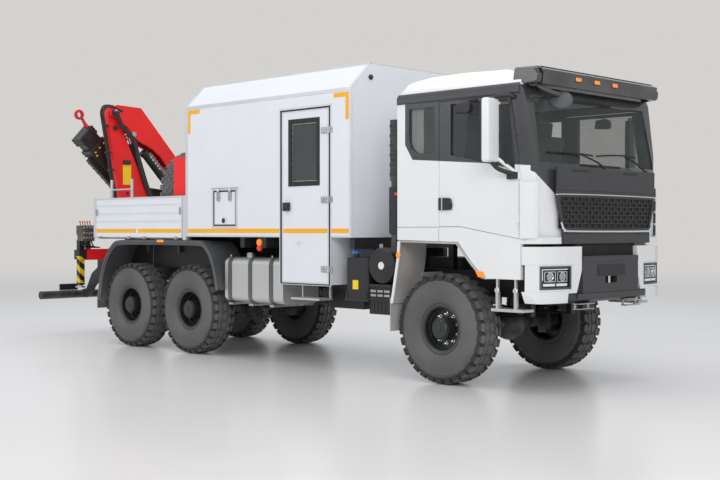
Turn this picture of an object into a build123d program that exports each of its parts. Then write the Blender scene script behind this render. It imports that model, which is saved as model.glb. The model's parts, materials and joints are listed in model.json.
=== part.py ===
from build123d import *
import os
from math import atan2, cos, degrees, hypot, radians, sin

# 6x6 workshop truck: crew cab, insulated box body, dropside platform and folded loader crane.
# Millimetres. X forward, Y to the vehicle's left, Z up, origin on the ground below the middle.

# Axles and wheels
front_axle_x = 3530
bogie_front_x = -1102
bogie_spread = 1445
bogie_rear_x = bogie_front_x - bogie_spread
tyre_radius = 620
tyre_width = 375
tyre_shoulder_drop = 42
tyre_lugs = 26
lug_depth = 20
tyre_track = 1990
rim_radius = 254
rim_flange_radius = 292
rim_width = 280
rim_wall = 12
hub_radius = 130
steered_hub_y = -20
driven_hub_y = -90
seat_gap = 0.3
door_gap = 6
king_pin_y = 900
knuckle_radius = 58
knuckle_height = 230
yoke_lug = 42
axle_tube_radius = 78
nose_length = 330
front_pot_y = 120
shaft_radius = 42
differential_radius = 205

# Ladder frame
rail_outer_y = 432
rail_height = 300
rail_flange = 80
rail_web = 10
rail_top_z = 1260
frame_front_x = 4560
frame_rear_x = -4560
subframe_height = 240
subframe_front_x = 2300
bearer_height = 139
fender_inner_y = 740

# Box body
box_rear_x = -1040
box_length = 3276
body_half_width = 1250
box_floor_z = 1639
box_eave_z = 3444
box_roof_z = 3748
box_roof_half_width = 936
box_wall = 60
trim_width = 45
trim_proud = 4

# Side door with its step well, and the hatch
door_rear_x = 971
door_width = 869
door_bottom_z = 1060
door_height = 2170
panel_thickness = 45
door_window_x = 1113
door_window_width = 550
door_window_z = 2291
door_window_height = 816
glass_thickness = 6
porch_depth = 790
porch_wall = 25
hatch_rear_x = -418
hatch_width = 479
hatch_bottom_z = 1786
hatch_height = 476
hatch_frame_proud = 8
hinge_offset = 11.3
hinge_radius = 11

# Platform
platform_rear_x = -3326
deck_top_z = 1700
deck_thickness = 55
dropside_bottom_z = 1622
dropside_top_z = 2210
dropside_thickness = 32
post_width = 70

# Cab
cab_rear_x = 2970
cab_floor_z = 1700
cab_skin = 50
cab_door_rear_x = 3598
cab_door_front_x = 4698
cab_door_top_z = 3150
cab_door_low_z = 1763
cab_door_front_low_z = 1635
cab_door_lip = 12
cab_door_rebate_height = 14
cab_side_x = 4716
cab_nose_x = 4960
cab_hinge_x = 4706
cab_hinge_y = -1262
cab_hinge_radius = 11.7
tow_eye_radius = 22

# Crane, folded across the truck
slew_x = -3970
column_foot_z = 1722
head_y = -560
head_z = 3610
mast_thickness = 190
boom_plate = 40
boom_gap = 8
elbow_y = 850
elbow_z = 2350
pack_angle = 137
pack_offset = 500
pack_foot = -40
pack_length = 1930
pack_width = 240
pack_height = 330
pack_gap = 45
stage_wall = 18
lifting_eye_radius = 42
lifting_eye_outer = 78
lifting_eye_width = 46
lift_foot_y = 250
lift_foot_z = 2100
lift_eye_y = -225
lift_eye_z = 3290
column_foot_radius = 175
barrel_radius = 62
rod_radius = 32
beam_size = 150
slide_gap = 0.5
housing_wall = 10
jack_radius = 34
leg_y = 1115
leg_top_z = 1580
leg_foot_z = 825
leg_width = 90


def block(x0, x1, y0, y1, z0, z1):
    size = Box(x1 - x0, y1 - y0, z1 - z0)
    return Pos((x0 + x1) / 2, (y0 + y1) / 2, (z0 + z1) / 2) * size


def plate_y(outline, y0, y1):
    """Outline of (x, z) points, thick from y0 to y1."""
    wire = Polyline(*[(x, y0, z) for x, z in outline], close=True)
    return extrude(make_face(wire), amount=y1 - y0, dir=(0, 1, 0))


def plate_x(outline, x0, x1):
    """Outline of (y, z) points, thick from x0 to x1."""
    wire = Polyline(*[(x0, y, z) for y, z in outline], close=True)
    return extrude(make_face(wire), amount=x1 - x0, dir=(1, 0, 0))


def plate_z(outline, z0, z1):
    """Outline of (x, y) points, thick from z0 to z1."""
    wire = Polyline(*[(x, y, z0) for x, y in outline], close=True)
    return extrude(make_face(wire), amount=z1 - z0, dir=(0, 0, 1))


def bar_x(x0, x1, y, z, radius):
    return Pos((x0 + x1) / 2, y, z) * Rot(0, 90, 0) * Cylinder(radius, x1 - x0)


def bar_y(x, y0, y1, z, radius):
    return Pos(x, (y0 + y1) / 2, z) * Rot(90, 0, 0) * Cylinder(radius, abs(y1 - y0))


def bar_z(x, y, z0, z1, radius):
    return Pos(x, y, (z0 + z1) / 2) * Cylinder(radius, z1 - z0)


def rod(start, end, radius):
    """Round bar between two points."""
    start = Vector(*start)
    end = Vector(*end)
    base = Plane(origin=start, z_dir=end - start)
    return extrude(base * Circle(radius), amount=(end - start).length)


def pair(solid):
    """The solid and its copy on the other side of the truck."""
    return [solid, mirror(solid, about=Plane.XZ)]


def sides(solid, side):
    """Right-hand solid, or its left-hand copy where side is 1."""
    return solid if side < 0 else mirror(solid, about=Plane.XZ)


def fused(solids):
    whole = solids[0]
    for piece in solids[1:]:
        whole = whole + piece
    return whole


# Wheels

def tyre():
    """Tyre about the Y axis with staggered shoulder lugs."""
    half = tyre_width / 2
    base = tyre_radius - lug_depth
    shoulder = tyre_radius - tyre_shoulder_drop
    bore = rim_radius + seat_gap
    bead = rim_width / 2
    right = [(bore, bead - 20), (rim_flange_radius, bead + 6), (rim_flange_radius + 60, half - 12),
             (430, half), (540, half - 8), (shoulder, half - 22), (base, half - 62)]
    left = [(radius, -y) for radius, y in reversed(right)]
    wire = Polyline(*[(radius, y, 0) for radius, y in right + left], close=True)
    ring = revolve(make_face(wire), Axis.Y)
    step = 360 / tyre_lugs
    lug_top = (tyre_radius ** 2 - 70 ** 2) ** 0.5
    lugs = []
    for side in (-1, 1):
        for index in range(tyre_lugs):
            turn = step * (index + (0.5 if side > 0 else 0))
            y0 = side * 16
            y1 = side * (half - 16)
            lug = block(base - 45, lug_top, min(y0, y1), max(y0, y1), -26, 26)
            tip = plate_z([(base - 60, side * (half + 10)), (tyre_radius + 10, side * (half + 10)),
                           (tyre_radius + 10, side * (half - 50))], -40, 40)
            lugs.append(Rot(0, turn, 0) * (Rot(side * 14, 0, 0) * (lug - tip)))
    return ring.fuse(*lugs)


def rim(dish_y, cap_y, hub_y):
    """Wheel about the Y axis, outer side towards +Y."""
    half = rim_width / 2
    outline = [(0, hub_y), (hub_radius, hub_y), (hub_radius, dish_y - 14),
               (rim_radius - rim_wall, dish_y - 14), (rim_radius - rim_wall, -half + 8),
               (rim_flange_radius - 8, -half - 8), (rim_flange_radius - 8, -half - 2),
               (rim_radius, -half + 14), (rim_radius, half - 14), (rim_flange_radius - 8, half + 2),
               (rim_flange_radius - 8, half + 8), (rim_radius - rim_wall, half - 8),
               (rim_radius - rim_wall, dish_y), (hub_radius, dish_y), (hub_radius * 0.86, cap_y - 12),
               (hub_radius * 0.75, cap_y), (0, cap_y)]
    wire = Polyline(*[(radius, y, 0) for radius, y in outline], close=True)
    return revolve(make_face(wire), Axis.Y)


def wheel_places():
    return {"front": front_axle_x, "middle": bogie_front_x, "rear": bogie_rear_x}


def wheels():
    tread = tyre()
    steered = rim(34, 178, steered_hub_y)
    driven = rim(-40, 178, driven_hub_y)
    nodes = {}
    for place, x in wheel_places().items():
        for side, name in ((-1, "right"), (1, "left")):
            turn = 180 if side < 0 else 0
            spot = Pos(x, side * tyre_track / 2, tyre_radius) * Rot(0, 0, turn)
            nodes[f"tyre_{place}_{name}"] = spot * tread
            nodes[f"rim_{place}_{name}"] = spot * (steered if place == "front" else driven)
    return nodes


def knuckle(side):
    half = knuckle_height / 2
    post = bar_z(front_axle_x, -king_pin_y, tyre_radius - half, tyre_radius + half, knuckle_radius)
    face = -tyre_track / 2 - steered_hub_y + seat_gap
    spindle = bar_y(front_axle_x, face, -king_pin_y, tyre_radius, hub_radius * 0.65)
    drum = bar_y(front_axle_x, face, face + 20, tyre_radius, hub_radius * 0.82)
    arm = block(front_axle_x - 170, front_axle_x, -king_pin_y - 20, -king_pin_y + 20,
                tyre_radius - 95, tyre_radius - 65)
    eye = bar_z(front_axle_x - 170, -king_pin_y, tyre_radius - 100, tyre_radius - 60, 32)
    return sides(fused([post, spindle, drum, arm, eye]), side)


def nose_z():
    return tyre_radius + 20


def output_z():
    return tyre_radius + 110


def front_axle():
    reach = king_pin_y - knuckle_radius - 22
    tube = bar_y(front_axle_x, -reach, reach, tyre_radius, axle_tube_radius)
    pot = Pos(front_axle_x, front_pot_y, tyre_radius) * Sphere(differential_radius)
    nose = bar_x(front_axle_x - nose_length, front_axle_x, front_pot_y, nose_z(), 90)
    solids = [tube, pot, nose]
    half = knuckle_height / 2 + seat_gap
    for side in (-1, 1):
        inner = side * (reach - 30)
        outer = side * reach
        back = block(front_axle_x - 60, front_axle_x + 60, min(inner, outer), max(inner, outer),
                     tyre_radius - half - yoke_lug, tyre_radius + half + yoke_lug)
        solids.append(back)
        for low in (-half - yoke_lug, half):
            tip = side * (king_pin_y + knuckle_radius - 8)
            solids.append(block(front_axle_x - 45, front_axle_x + 45, min(inner, tip), max(inner, tip),
                                tyre_radius + low, tyre_radius + low + yoke_lug))
    return fused(solids)


def rear_axle(x):
    reach = tyre_track / 2 + driven_hub_y - seat_gap
    tube = bar_y(x, -reach, reach, tyre_radius, axle_tube_radius)
    pot = Pos(x, 0, tyre_radius) * Sphere(differential_radius)
    nose = bar_x(x, x + nose_length, 0, nose_z(), 90)
    tail = bar_x(x - nose_length, x, 0, output_z(), 60)
    drums = [bar_y(x, side * (reach - 130), side * reach, tyre_radius, 190) for side in (-1, 1)]
    return fused([tube, pot, nose, tail] + drums)


def axles():
    return [front_axle(), rear_axle(bogie_front_x), rear_axle(bogie_rear_x)]


# Springs and driveline

def front_spring(side):
    y = side * 392
    seat_z = tyre_radius + axle_tube_radius
    leaves = []
    for index in range(3):
        half = 720 - index * 190
        low = seat_z + index * 20
        leaves.append(plate_y([(front_axle_x - half, low + 55), (front_axle_x, low),
                               (front_axle_x + half, low + 55), (front_axle_x + half, low + 75),
                               (front_axle_x, low + 20), (front_axle_x - half, low + 75)],
                              y - 40, y + 40))
    hangers = [block(front_axle_x + sign * 690 - 35, front_axle_x + sign * 690 + 35, y - 40, y + 40,
                     seat_z + 60, rail_top_z - rail_height) for sign in (-1, 1)]
    return fused(leaves + hangers)


def rear_spring(side):
    y = side * 392
    middle = (bogie_front_x + bogie_rear_x) / 2
    half = bogie_spread / 2
    top_z = rail_top_z - rail_height
    pack = []
    for index in range(3):
        low = 760 + index * 24
        reach = half - index * 170
        pack.append(plate_y([(middle - reach, low - 62), (middle, low), (middle + reach, low - 62),
                             (middle + reach, low - 38), (middle, low + 24), (middle - reach, low - 38)],
                            y - 45, y + 45))
    trunnion = block(middle - 130, middle + 130, y - 45, y + 45, 760, top_z)
    return fused(pack + [trunnion])


def springs():
    return [front_spring(-1), front_spring(1), rear_spring(-1), rear_spring(1)]


def shaft(start, end):
    """Propeller shaft that stops just short of the flanges at its two ends."""
    run = Vector(*end) - Vector(*start)
    slope = abs(run.Z / run.X)
    step = run.normalized() * (shaft_radius * slope + seat_gap)
    first = Vector(*start) + step
    last = Vector(*end) - step
    return rod(first.to_tuple(), last.to_tuple(), shaft_radius)


def driveline():
    """Transfer box hung between the rails, with its three propeller shafts."""
    case = block(900, 1500, -300, 300, 700, 1180)
    front = shaft((1500, front_pot_y, 800), (front_axle_x - nose_length, front_pot_y, nose_z()))
    rear = shaft((900, 0, 800), (bogie_front_x + nose_length, 0, nose_z()))
    middle = shaft((bogie_front_x - nose_length, 0, output_z()), (bogie_rear_x + nose_length, 0, nose_z()))
    arms = [block(980, 1420, side * 300 if side > 0 else -422, 422 if side > 0 else -300,
                  1000, 1080) for side in (-1, 1)]
    return [fused([case] + arms), front, rear, middle]


def engine():
    block_body = block(3330, 4330, -330, 330, 985, 1600)
    sump = block(3900, 4330, -230, 230, 880, 985)
    gearbox = block(2560, 3330, -240, 240, 960, 1400)
    mounts = [block(3600, 3700, side * 330 if side > 0 else -422, 422 if side > 0 else -330,
                    1100, 1180) for side in (-1, 1)]
    rear_mounts = [block(2700, 2780, side * 240 if side > 0 else -422, 422 if side > 0 else -240,
                         1060, 1120) for side in (-1, 1)]
    return fused([block_body, sump, gearbox] + mounts + rear_mounts)


# Frame

def rail(side):
    outer = side * rail_outer_y
    web = side * (rail_outer_y - rail_web)
    inner = side * (rail_outer_y - rail_flange)
    low = rail_top_z - rail_height
    back = block(frame_rear_x, frame_front_x, min(outer, web), max(outer, web), low, rail_top_z)
    flanges = [block(frame_rear_x, frame_front_x, min(outer, inner), max(outer, inner), z, z + rail_web)
               for z in (low, rail_top_z - rail_web)]
    return fused([back] + flanges)


def cross_members():
    y = rail_outer_y - rail_web
    low = rail_top_z - rail_height
    places = (4500, 2350, 1640, 300, -620, -1825, -2950, -3700, -4500)
    return [block(x - 35, x + 35, -y, y, low + 90, low + 210) for x in places]


def subframe():
    """Two bearers on the rails, with cross beams under the box and the platform."""
    top = box_floor_z - bearer_height
    long = [block(platform_rear_x, subframe_front_x, side * rail_outer_y if side < 0 else 352,
                  -352 if side < 0 else rail_outer_y, rail_top_z, top) for side in (-1, 1)]
    cross = []
    for x in (2180, 560, 120, -330, -700, -990):
        half = body_half_width - 60 if x > -300 else fender_inner_y - 10
        cross.append(block(x - 40, x + 40, -half, half, top, box_floor_z))
    for x in (1260, 1700):
        cross.append(block(x - 40, x + 40, -rail_outer_y, body_half_width - 60, top, box_floor_z))
    deck_low = deck_top_z - deck_thickness
    for x in (-1180, -1620, -2060, -2500, -2940, -3270):
        cross.append(block(x - 40, x + 40, -fender_inner_y + 10, fender_inner_y - 10, top, deck_low))
    return long + cross


def rear_pipe():
    """Round underrun pipe on two curved brackets from the frame's tail."""
    pipe_x = -4965
    pipe_z = 665
    pipe = bar_y(pipe_x, -body_half_width, body_half_width, pipe_z, 65)
    bore = bar_y(pipe_x, -body_half_width - 1, -body_half_width + 40, pipe_z, 55)
    brackets = []
    for side in (-1, 1):
        outline = [(-4160, 955), (-4160, 1120), (-4520, 1120), (-4700, 1010), (-4860, 760), (-5000, 735),
                   (-5000, 640), (-4880, 600), (-4720, 640), (-4600, 800), (-4420, 930)]
        y = side * (rail_outer_y + 12)
        brackets.append(plate_y(outline, y - 12, y + 12))
    return fused([pipe] + brackets) - bore - mirror(bore, about=Plane.XZ)


def frame():
    solids = [rail(-1), rail(1)] + cross_members() + subframe() + [rear_pipe()]
    return fused(solids + bumper_carrier() + cab_mounts())


# Box body

def box_section(inset):
    """Cross section of the box body, drawn in by inset."""
    side = body_half_width - inset
    low = box_floor_z + inset
    slope = inset * 0.42
    return [(-side, low), (side, low), (side, box_eave_z - slope), (box_roof_half_width - slope,
            box_roof_z - inset), (-box_roof_half_width + slope, box_roof_z - inset),
            (-side, box_eave_z - slope)]


def box_front_x():
    return box_rear_x + box_length


def box_shell():
    front = box_front_x()
    outer = plate_x(box_section(0), box_rear_x, front)
    inner = plate_x(box_section(box_wall), box_rear_x + box_wall, front - box_wall)
    shell = outer - inner
    doorway = block(door_rear_x, door_rear_x + door_width, -body_half_width - 10,
                    -body_half_width + box_wall + 10, box_floor_z - 10, door_bottom_z + door_height)
    well = block(door_rear_x, door_rear_x + door_width, -body_half_width - 10, -body_half_width + porch_depth,
                 box_floor_z - 10, box_floor_z + box_wall + 10)
    hatch = block(hatch_rear_x, hatch_rear_x + hatch_width, -body_half_width - 10,
                  -body_half_width + box_wall + 10, hatch_bottom_z, hatch_bottom_z + hatch_height)
    return shell - doorway - well - hatch


def box_trims():
    """Aluminium corner profiles outside the panels, with the hatch frame and the drip rail."""
    front = box_front_x()
    grown = box_section(-trim_proud)
    slim = box_section(0)
    rings = []
    for x0, x1 in ((front - trim_width, front), (box_rear_x, box_rear_x + trim_width)):
        below = block(x0 - 1, x1 + 1, -body_half_width - 10, body_half_width + 10, box_floor_z - 10, box_floor_z)
        rings.append(plate_x(grown, x0, x1) - plate_x(slim, x0 - 1, x1 + 1) - below)
    outside = body_half_width
    ring = block(hatch_rear_x - 28, hatch_rear_x + hatch_width + 28, -outside - hatch_frame_proud, -outside,
                 hatch_bottom_z - 28, hatch_bottom_z + hatch_height + 28)
    hole = block(hatch_rear_x, hatch_rear_x + hatch_width, -outside - 9, -outside + 1,
                 hatch_bottom_z, hatch_bottom_z + hatch_height)
    rail_z = door_bottom_z + door_height
    drip = block(door_rear_x - 20, door_rear_x + door_width + 20, -outside - 22, -outside,
                 rail_z + 12, rail_z + 30)
    eaves = []
    for side in (-1, 1):
        y0 = side * (outside + trim_proud)
        y1 = side * outside
        eaves.append(block(box_rear_x + trim_width + 1, front - trim_width - 1, min(y0, y1), max(y0, y1),
                           box_eave_z - trim_width, box_eave_z))
    return rings + [ring - hole, drip] + eaves


def box_door():
    """Side door to the step well, with its hinges and handle."""
    x0 = door_rear_x + door_gap
    x1 = door_rear_x + door_width - door_gap
    y = -body_half_width
    leaf = block(x0, x1, y, y + panel_thickness, door_bottom_z + door_gap,
                 door_bottom_z + door_height - door_gap)
    hole = block(door_window_x, door_window_x + door_window_width, y - 1, y + panel_thickness + 1,
                 door_window_z, door_window_z + door_window_height)
    handle = block(x0 + 60, x0 + 150, y - 40, y, 1990, 2050)
    bar = block(x0 + 300, x0 + 330, y - 34, y, 1560, 1600)
    solids = [leaf - hole, handle, bar]
    for z in (1250, 2100, 2950):
        strap = block(x1 - 70, x1, y - 10, y, z - 32, z + 32)
        barrel = bar_z(box_door_axis_x(), y - hinge_offset, z - 32, z + 32, hinge_radius)
        web = block(x1 - 10, box_door_axis_x(), y - hinge_offset - 4, y - hinge_offset + 4, z - 32, z + 32)
        solids += [strap, barrel, web]
    return fused(solids)


def box_door_axis_x():
    return door_rear_x + door_width + 9


def box_window():
    """Pane of the side door, seated in its opening."""
    y = -body_half_width + panel_thickness / 2
    return block(door_window_x, door_window_x + door_window_width, y - glass_thickness, y,
                 door_window_z, door_window_z + door_window_height)


def box_hatch():
    y = -body_half_width
    top = hatch_bottom_z + hatch_height
    x0 = hatch_rear_x + door_gap
    x1 = hatch_rear_x + hatch_width - door_gap
    leaf = block(x0, x1, y, y + panel_thickness, hatch_bottom_z + door_gap, top - door_gap)
    catch = block((x0 + x1) / 2 - 30, (x0 + x1) / 2 + 30, y - 22, y, hatch_bottom_z + 20, hatch_bottom_z + 90)
    solids = [leaf, catch]
    for x in (x0 + 110, x1 - 110):
        strap = block(x - 20, x + 20, y - hatch_hinge_y() - 4, y, top - 130, top - door_gap)
        web = block(x - 20, x + 20, y - hatch_hinge_y() - 4, y - hatch_hinge_y() + 4, top - 20, hatch_axis_z())
        barrel = bar_x(x - 20, x + 20, y - hatch_hinge_y(), hatch_axis_z(), hinge_radius)
        solids += [strap, web, barrel]
    return fused(solids)


def hatch_hinge_y():
    """How far the hatch's hinge line stands out from the panel, past the frame."""
    return hatch_frame_proud + hinge_radius + seat_gap


def hatch_axis_z():
    return hatch_bottom_z + hatch_height + 12


def porch():
    """Step well below the box floor, open to the side and upwards."""
    x0 = door_rear_x - porch_wall
    x1 = door_rear_x + door_width + porch_wall
    y1 = -body_half_width + porch_depth
    y0 = -body_half_width + panel_thickness + door_gap
    outer = block(x0, x1, y0, y1 + porch_wall, door_bottom_z, box_floor_z)
    inner = block(door_rear_x, door_rear_x + door_width, y0 - 1, y1, door_bottom_z + porch_wall,
                  box_floor_z + 1)
    cheeks = [block(x0, door_rear_x, -body_half_width, y0, door_bottom_z, box_floor_z),
              block(door_rear_x + door_width, x1, -body_half_width, y0, door_bottom_z, box_floor_z)]
    tread = block(door_rear_x, door_rear_x + door_width, -950, y1, door_bottom_z + porch_wall, 1370)
    return fused([outer - inner, tread] + cheeks)


# Platform

def platform():
    deck_front = box_rear_x - 2
    low = deck_top_z - deck_thickness
    inner = body_half_width - dropside_thickness - 11
    deck = block(platform_rear_x, deck_front, -inner, inner, low, deck_top_z)
    lugs = []
    for side in (-1, 1):
        edge = block(platform_rear_x, deck_front, -inner, -inner + 60, 1600, low)
        plates = [block(x - 30, x + 30, dropside_axis()[0] - 12, -inner, 1600, 1614) for x in dropside_hinges()]
        rests = [block(x - 30, x + 30, dropside_axis()[0] - 12, dropside_axis()[0] + 4, 1614,
                       dropside_axis()[1] - hinge_radius - seat_gap) for x in dropside_hinges()]
        lugs.append(sides(fused([edge] + plates + rests), side))
    sill = block(platform_rear_x - 50, platform_rear_x, -body_half_width, body_half_width,
                 dropside_bottom_z, deck_top_z)
    posts = []
    for side in (-1, 1):
        y0 = side * body_half_width
        y1 = side * (inner - 20)
        posts.append(block(deck_front - post_width, deck_front, min(y0, y1), max(y0, y1),
                           dropside_bottom_z - 30, dropside_top_z))
        posts.append(block(platform_rear_x - 50, platform_rear_x, min(y0, y1), max(y0, y1),
                           dropside_bottom_z, dropside_top_z))
    return fused([deck, sill] + lugs + posts)


def dropside_axis():
    return -body_half_width - hinge_offset, dropside_bottom_z + 22


def dropside_hinges():
    """Middles of the four hinges along a dropside."""
    x0 = platform_rear_x + door_gap
    x1 = box_rear_x - 2 - post_width - door_gap
    middle = (x0 + x1) / 2
    return x0 + 140, middle - 200, middle + 200, x1 - 140


def dropside(side):
    """Ribbed board between the posts, hinged along its lower edge."""
    x0 = platform_rear_x + door_gap
    x1 = box_rear_x - 2 - post_width - door_gap
    y0 = -body_half_width
    y1 = y0 + dropside_thickness
    board = block(x0, x1, y0 + 8, y1, dropside_bottom_z, dropside_top_z)
    middle = (x0 + x1) / 2
    ribs = []
    for start, end in ((x0, middle - 6), (middle + 6, x1)):
        height = dropside_top_z - dropside_bottom_z
        for index in range(5):
            z = dropside_bottom_z + height * index / 5 + 8
            ribs.append(block(start, end, y0, y0 + 9, z, z + height / 5 - 16))
    ribs.append(block(middle - 22, middle + 22, y0 - 4, y0 + 9, dropside_bottom_z, dropside_top_z))
    axis_y, axis_z = dropside_axis()
    hinges = []
    for x in dropside_hinges():
        hinges.append(bar_x(x - 35, x + 35, axis_y, axis_z, hinge_radius))
        hinges.append(block(x - 35, x + 35, axis_y, y0 + 9, axis_z - 8, axis_z + 8))
    catches = [block(x - 20, x + 20, y0 - 12, y0 + 9, 1960, 2040) for x in (x0 + 40, x1 - 40)]
    return sides(fused([board] + ribs + hinges + catches), side)


def rear_fender(side):
    """One bent sheet over both wheels of the bogie, with its stays."""
    outline = [(-3288, 663), (-3240, 900), (-3090, 1250), (-2880, 1500), (-2714, 1590), (-717, 1590),
               (-540, 1480), (-400, 1230), (-322, 923)]
    sheet = 8
    under = [(-3280, 661), (-3232, 896), (-3083, 1244), (-2875, 1492), (-2712, 1582), (-720, 1582),
             (-546, 1474), (-408, 1227), (-330, 921)]
    y0 = -body_half_width + 4
    y1 = -fender_inner_y
    skin = plate_y(outline + list(reversed(under)), y0, y1)
    lip_out = [(x, z) for x, z in outline]
    lip_in = [(-3250, 655), (-3203, 885), (-3058, 1226), (-2856, 1467), (-2706, 1550), (-728, 1550),
              (-570, 1452), (-438, 1217), (-362, 915)]
    lip = plate_y(lip_out + list(reversed(lip_in)), y0, y0 + sheet)
    stays = [block(x - 25, x + 25, -800, -rail_outer_y, 1400, 1582) for x in (-2600, -1825, -880)]
    flap = block(-3300, -3280, y0 + 6, y1 - 50, 540, 760)
    return sides(fused([skin, lip, flap] + stays), side)


def front_flaps():
    """Rubber flaps that hang behind the front wheels' guards."""
    return pair(block(2850, 2861.7, -body_half_width + 4, -960, 562, 950))


# Tanks and side equipment

def fuel_tank():
    """Aluminium tank right of the frame with three straps, on brackets."""
    tank = fillet(block(-300, 880, -1150, -520, 768, 1363).edges().filter_by(Axis.X), 90)
    cap = bar_z(20, -960, 1363, 1400, 55)
    brackets = [block(x - 30, x + 30, -520, -rail_outer_y, 800, 1200) for x in (-180, 275, 720)]
    return fused([tank, cap] + brackets)


def tank_straps():
    solids = []
    for x in (-190, 230, 650):
        outer = fillet(block(x - 35, x + 35, -1158, -512, 760, 1371).edges().filter_by(Axis.X), 98)
        inner = fillet(block(x - 36, x + 36, -1150.3, -519.7, 767.7, 1363.3).edges().filter_by(Axis.X), 90)
        slot = block(x - 36, x + 36, -530, -500, 790, 1210)
        solids.append(outer - inner - slot)
    return solids


def side_gear():
    """Additive tank, air cleaner and battery box on the right, silencer box and air bottles left."""
    additive = fillet(block(2048, 2420, -1170, -640, 897, 1400).edges().filter_by(Axis.Z), 40)
    neck = bar_z(2120, -1060, 1400, 1450, 38)
    arm = block(2200, 2260, -640, -rail_outer_y, 1000, 1180)
    cleaner = fillet(bar_y(2649, -1180, -640, 1312, 210).edges(), 20)
    bracket = block(2620, 2680, -700, -rail_outer_y, 1020, 1140)
    batteries = block(2440, 2800, -1160, -600, 737, 1085)
    shelf = block(2500, 2560, -600, -rail_outer_y, 965, 1060)
    silencer = fillet(block(1900, 2640, 560, 1180, 760, 1330).edges().filter_by(Axis.Z), 60)
    carrier = block(2200, 2300, rail_outer_y, 560, 980, 1100)
    bottles = [bar_x(200 + i * 820, 900 + i * 820, 760, 1020, 140) for i in range(2)]
    hangers = [block(520 + i * 820, 580 + i * 820, rail_outer_y, 720, 1000, 1060) for i in range(2)]
    return [additive + neck + arm, fused([cleaner, bracket]), batteries + shelf, silencer + carrier,
            bottles[0] + hangers[0], bottles[1] + hangers[1]]


# Spare wheel, tank and ladder on the platform

def spare_wheel():
    """Standing on the deck behind the box, its axis along the truck, in a low cradle."""
    x = -1640
    y = -520
    radius = tyre_radius - 26
    z = deck_top_z + radius + 4
    half = tyre_width / 2
    ring = fillet((bar_x(x - half, x + half, y, z, radius)).edges(), 55)
    hole = bar_x(x - half - 1, x - half + 120, y, z, rim_radius)
    hole_front = bar_x(x + half - 60, x + half + 1, y, z, rim_radius)
    chocks = [block(x - 150, x + 150, y + side * 330 - 40, y + side * 330 + 40, deck_top_z,
                    deck_top_z + 160) for side in (-1, 1)]
    return fused([ring - hole - hole_front] + chocks)


def oil_tank():
    """Red tank against the box's rear wall."""
    return fillet(block(-1430, -1060, -1184, 560, deck_top_z, 2760).edges().filter_by(Axis.Z), 30)


def steps():
    """Ladder on the platform, folding step below the porch and the cab's hanging steps."""
    x0 = -2985
    x1 = -2450
    y = -1180
    rails = [rod((x, y, deck_top_z), (x, y, 2490), 22) for x in (x0, x1)]
    rungs = [rod((x0, y, z), (x1, y, z), 12) for z in (1900, 2120, 2340)]
    ladder = fused(rails + rungs)
    step_x = door_rear_x + door_width / 2
    tread = block(step_x - 260, step_x + 260, -1250, -1020, 860, 885)
    arms = [block(step_x + s * 250 - 10, step_x + s * 250 + 10, -1060, -1030, 885, door_bottom_z)
            for s in (-1, 1)]
    solids = [ladder, fused([tread] + arms)]
    for side in (-1, 1):
        plate = block(4330, 4730, -1240, -1050, 868, 892)
        hangers = [block(x - 12, x + 12, -1238, -1210, 892, 1210) for x in (4400, 4640)]
        solids.append(sides(fused([plate] + hangers), side))
    return solids


# Cab

def cab_profile(inset):
    """Side view of the cab, with the wheel arch, drawn in by inset."""
    low = cab_floor_z if inset else 1617
    outline = [(cab_rear_x + inset, low), (cab_rear_x + inset, 3230), (3040 + inset, 3400 - inset),
               (3240, 3482 - inset), (3700, 3493 - inset), (4380, 3455 - inset), (4640 - inset, 3390 - inset),
               (4745 - inset, 3190), (4885 - inset, 2400), (4935 - inset, 2300), (cab_nose_x - inset, 1900)]
    if inset:
        return outline + [(cab_nose_x - inset, low)]
    return outline + [(cab_nose_x, 1583), (cab_side_x, 1583), (cab_side_x, 1210), (4248, 1210),
                      (4060, 1385), (3870, 1600)]


def cab_plan(inset):
    """Plan of the cab with its rounded front corners."""
    side = body_half_width - inset
    rear = cab_rear_x + inset
    return [(rear, -side), (cab_side_x, -side), (4850 - inset, -side + 75), (4925 - inset, -side + 280),
            (cab_nose_x - inset, -400), (cab_nose_x - inset, 400), (4925 - inset, side - 280),
            (4850 - inset, side - 75), (cab_side_x, side), (rear, side)]


def cab_section(inset):
    """Front view of the cab with its sloped roof edges."""
    side = body_half_width - inset
    low = cab_floor_z if inset else 1200
    top = 3500 - inset
    return [(-side, low), (side, low), (side, 3245), (1110 - inset / 2, 3420 - inset / 2), (900, top),
            (-900, top), (-1110 + inset / 2, 3420 - inset / 2), (-side, 3245)]


def cab_body(inset):
    across = body_half_width + 20
    side_view = plate_y(cab_profile(inset), -across, across)
    plan = plate_z(cab_plan(inset), 1100, 3600)
    front = plate_x(cab_section(inset), cab_rear_x - 20, cab_nose_x + 20)
    return side_view & plan & front


def cab_door_outline(gap):
    return [(cab_door_rear_x + gap, cab_door_low_z + gap), (cab_door_rear_x + gap, cab_door_top_z - gap),
            (cab_door_front_x - 110 - gap, cab_door_top_z - gap), (cab_door_front_x - gap, 2500),
            (cab_door_front_x - gap, cab_door_front_low_z + gap), (3905, cab_door_low_z + gap)]


def cab_door_rebate():
    """Strip off the leaf's inner lower edge, so that it swings clear of the sloping sill."""
    low = [(3905, cab_door_low_z + door_gap), (cab_door_front_x, cab_door_front_low_z + door_gap)]
    return [(x, z - 2) for x, z in low] + [(x, z + cab_door_rebate_height) for x, z in reversed(low)]


def door_window_outline():
    return [(3770, 2552), (3770, 3110), (4540, 3110), (4640, 2490), (4640, 2362)]


def rear_window_outline():
    return [(3150, 3100), (3530, 3100), (3530, 2590), (3270, 2590), (3180, 2660), (3150, 2760)]


def windscreen_outline():
    return [(-1130, 2440), (1130, 2440), (1085, 3130), (-1085, 3130)]


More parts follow.
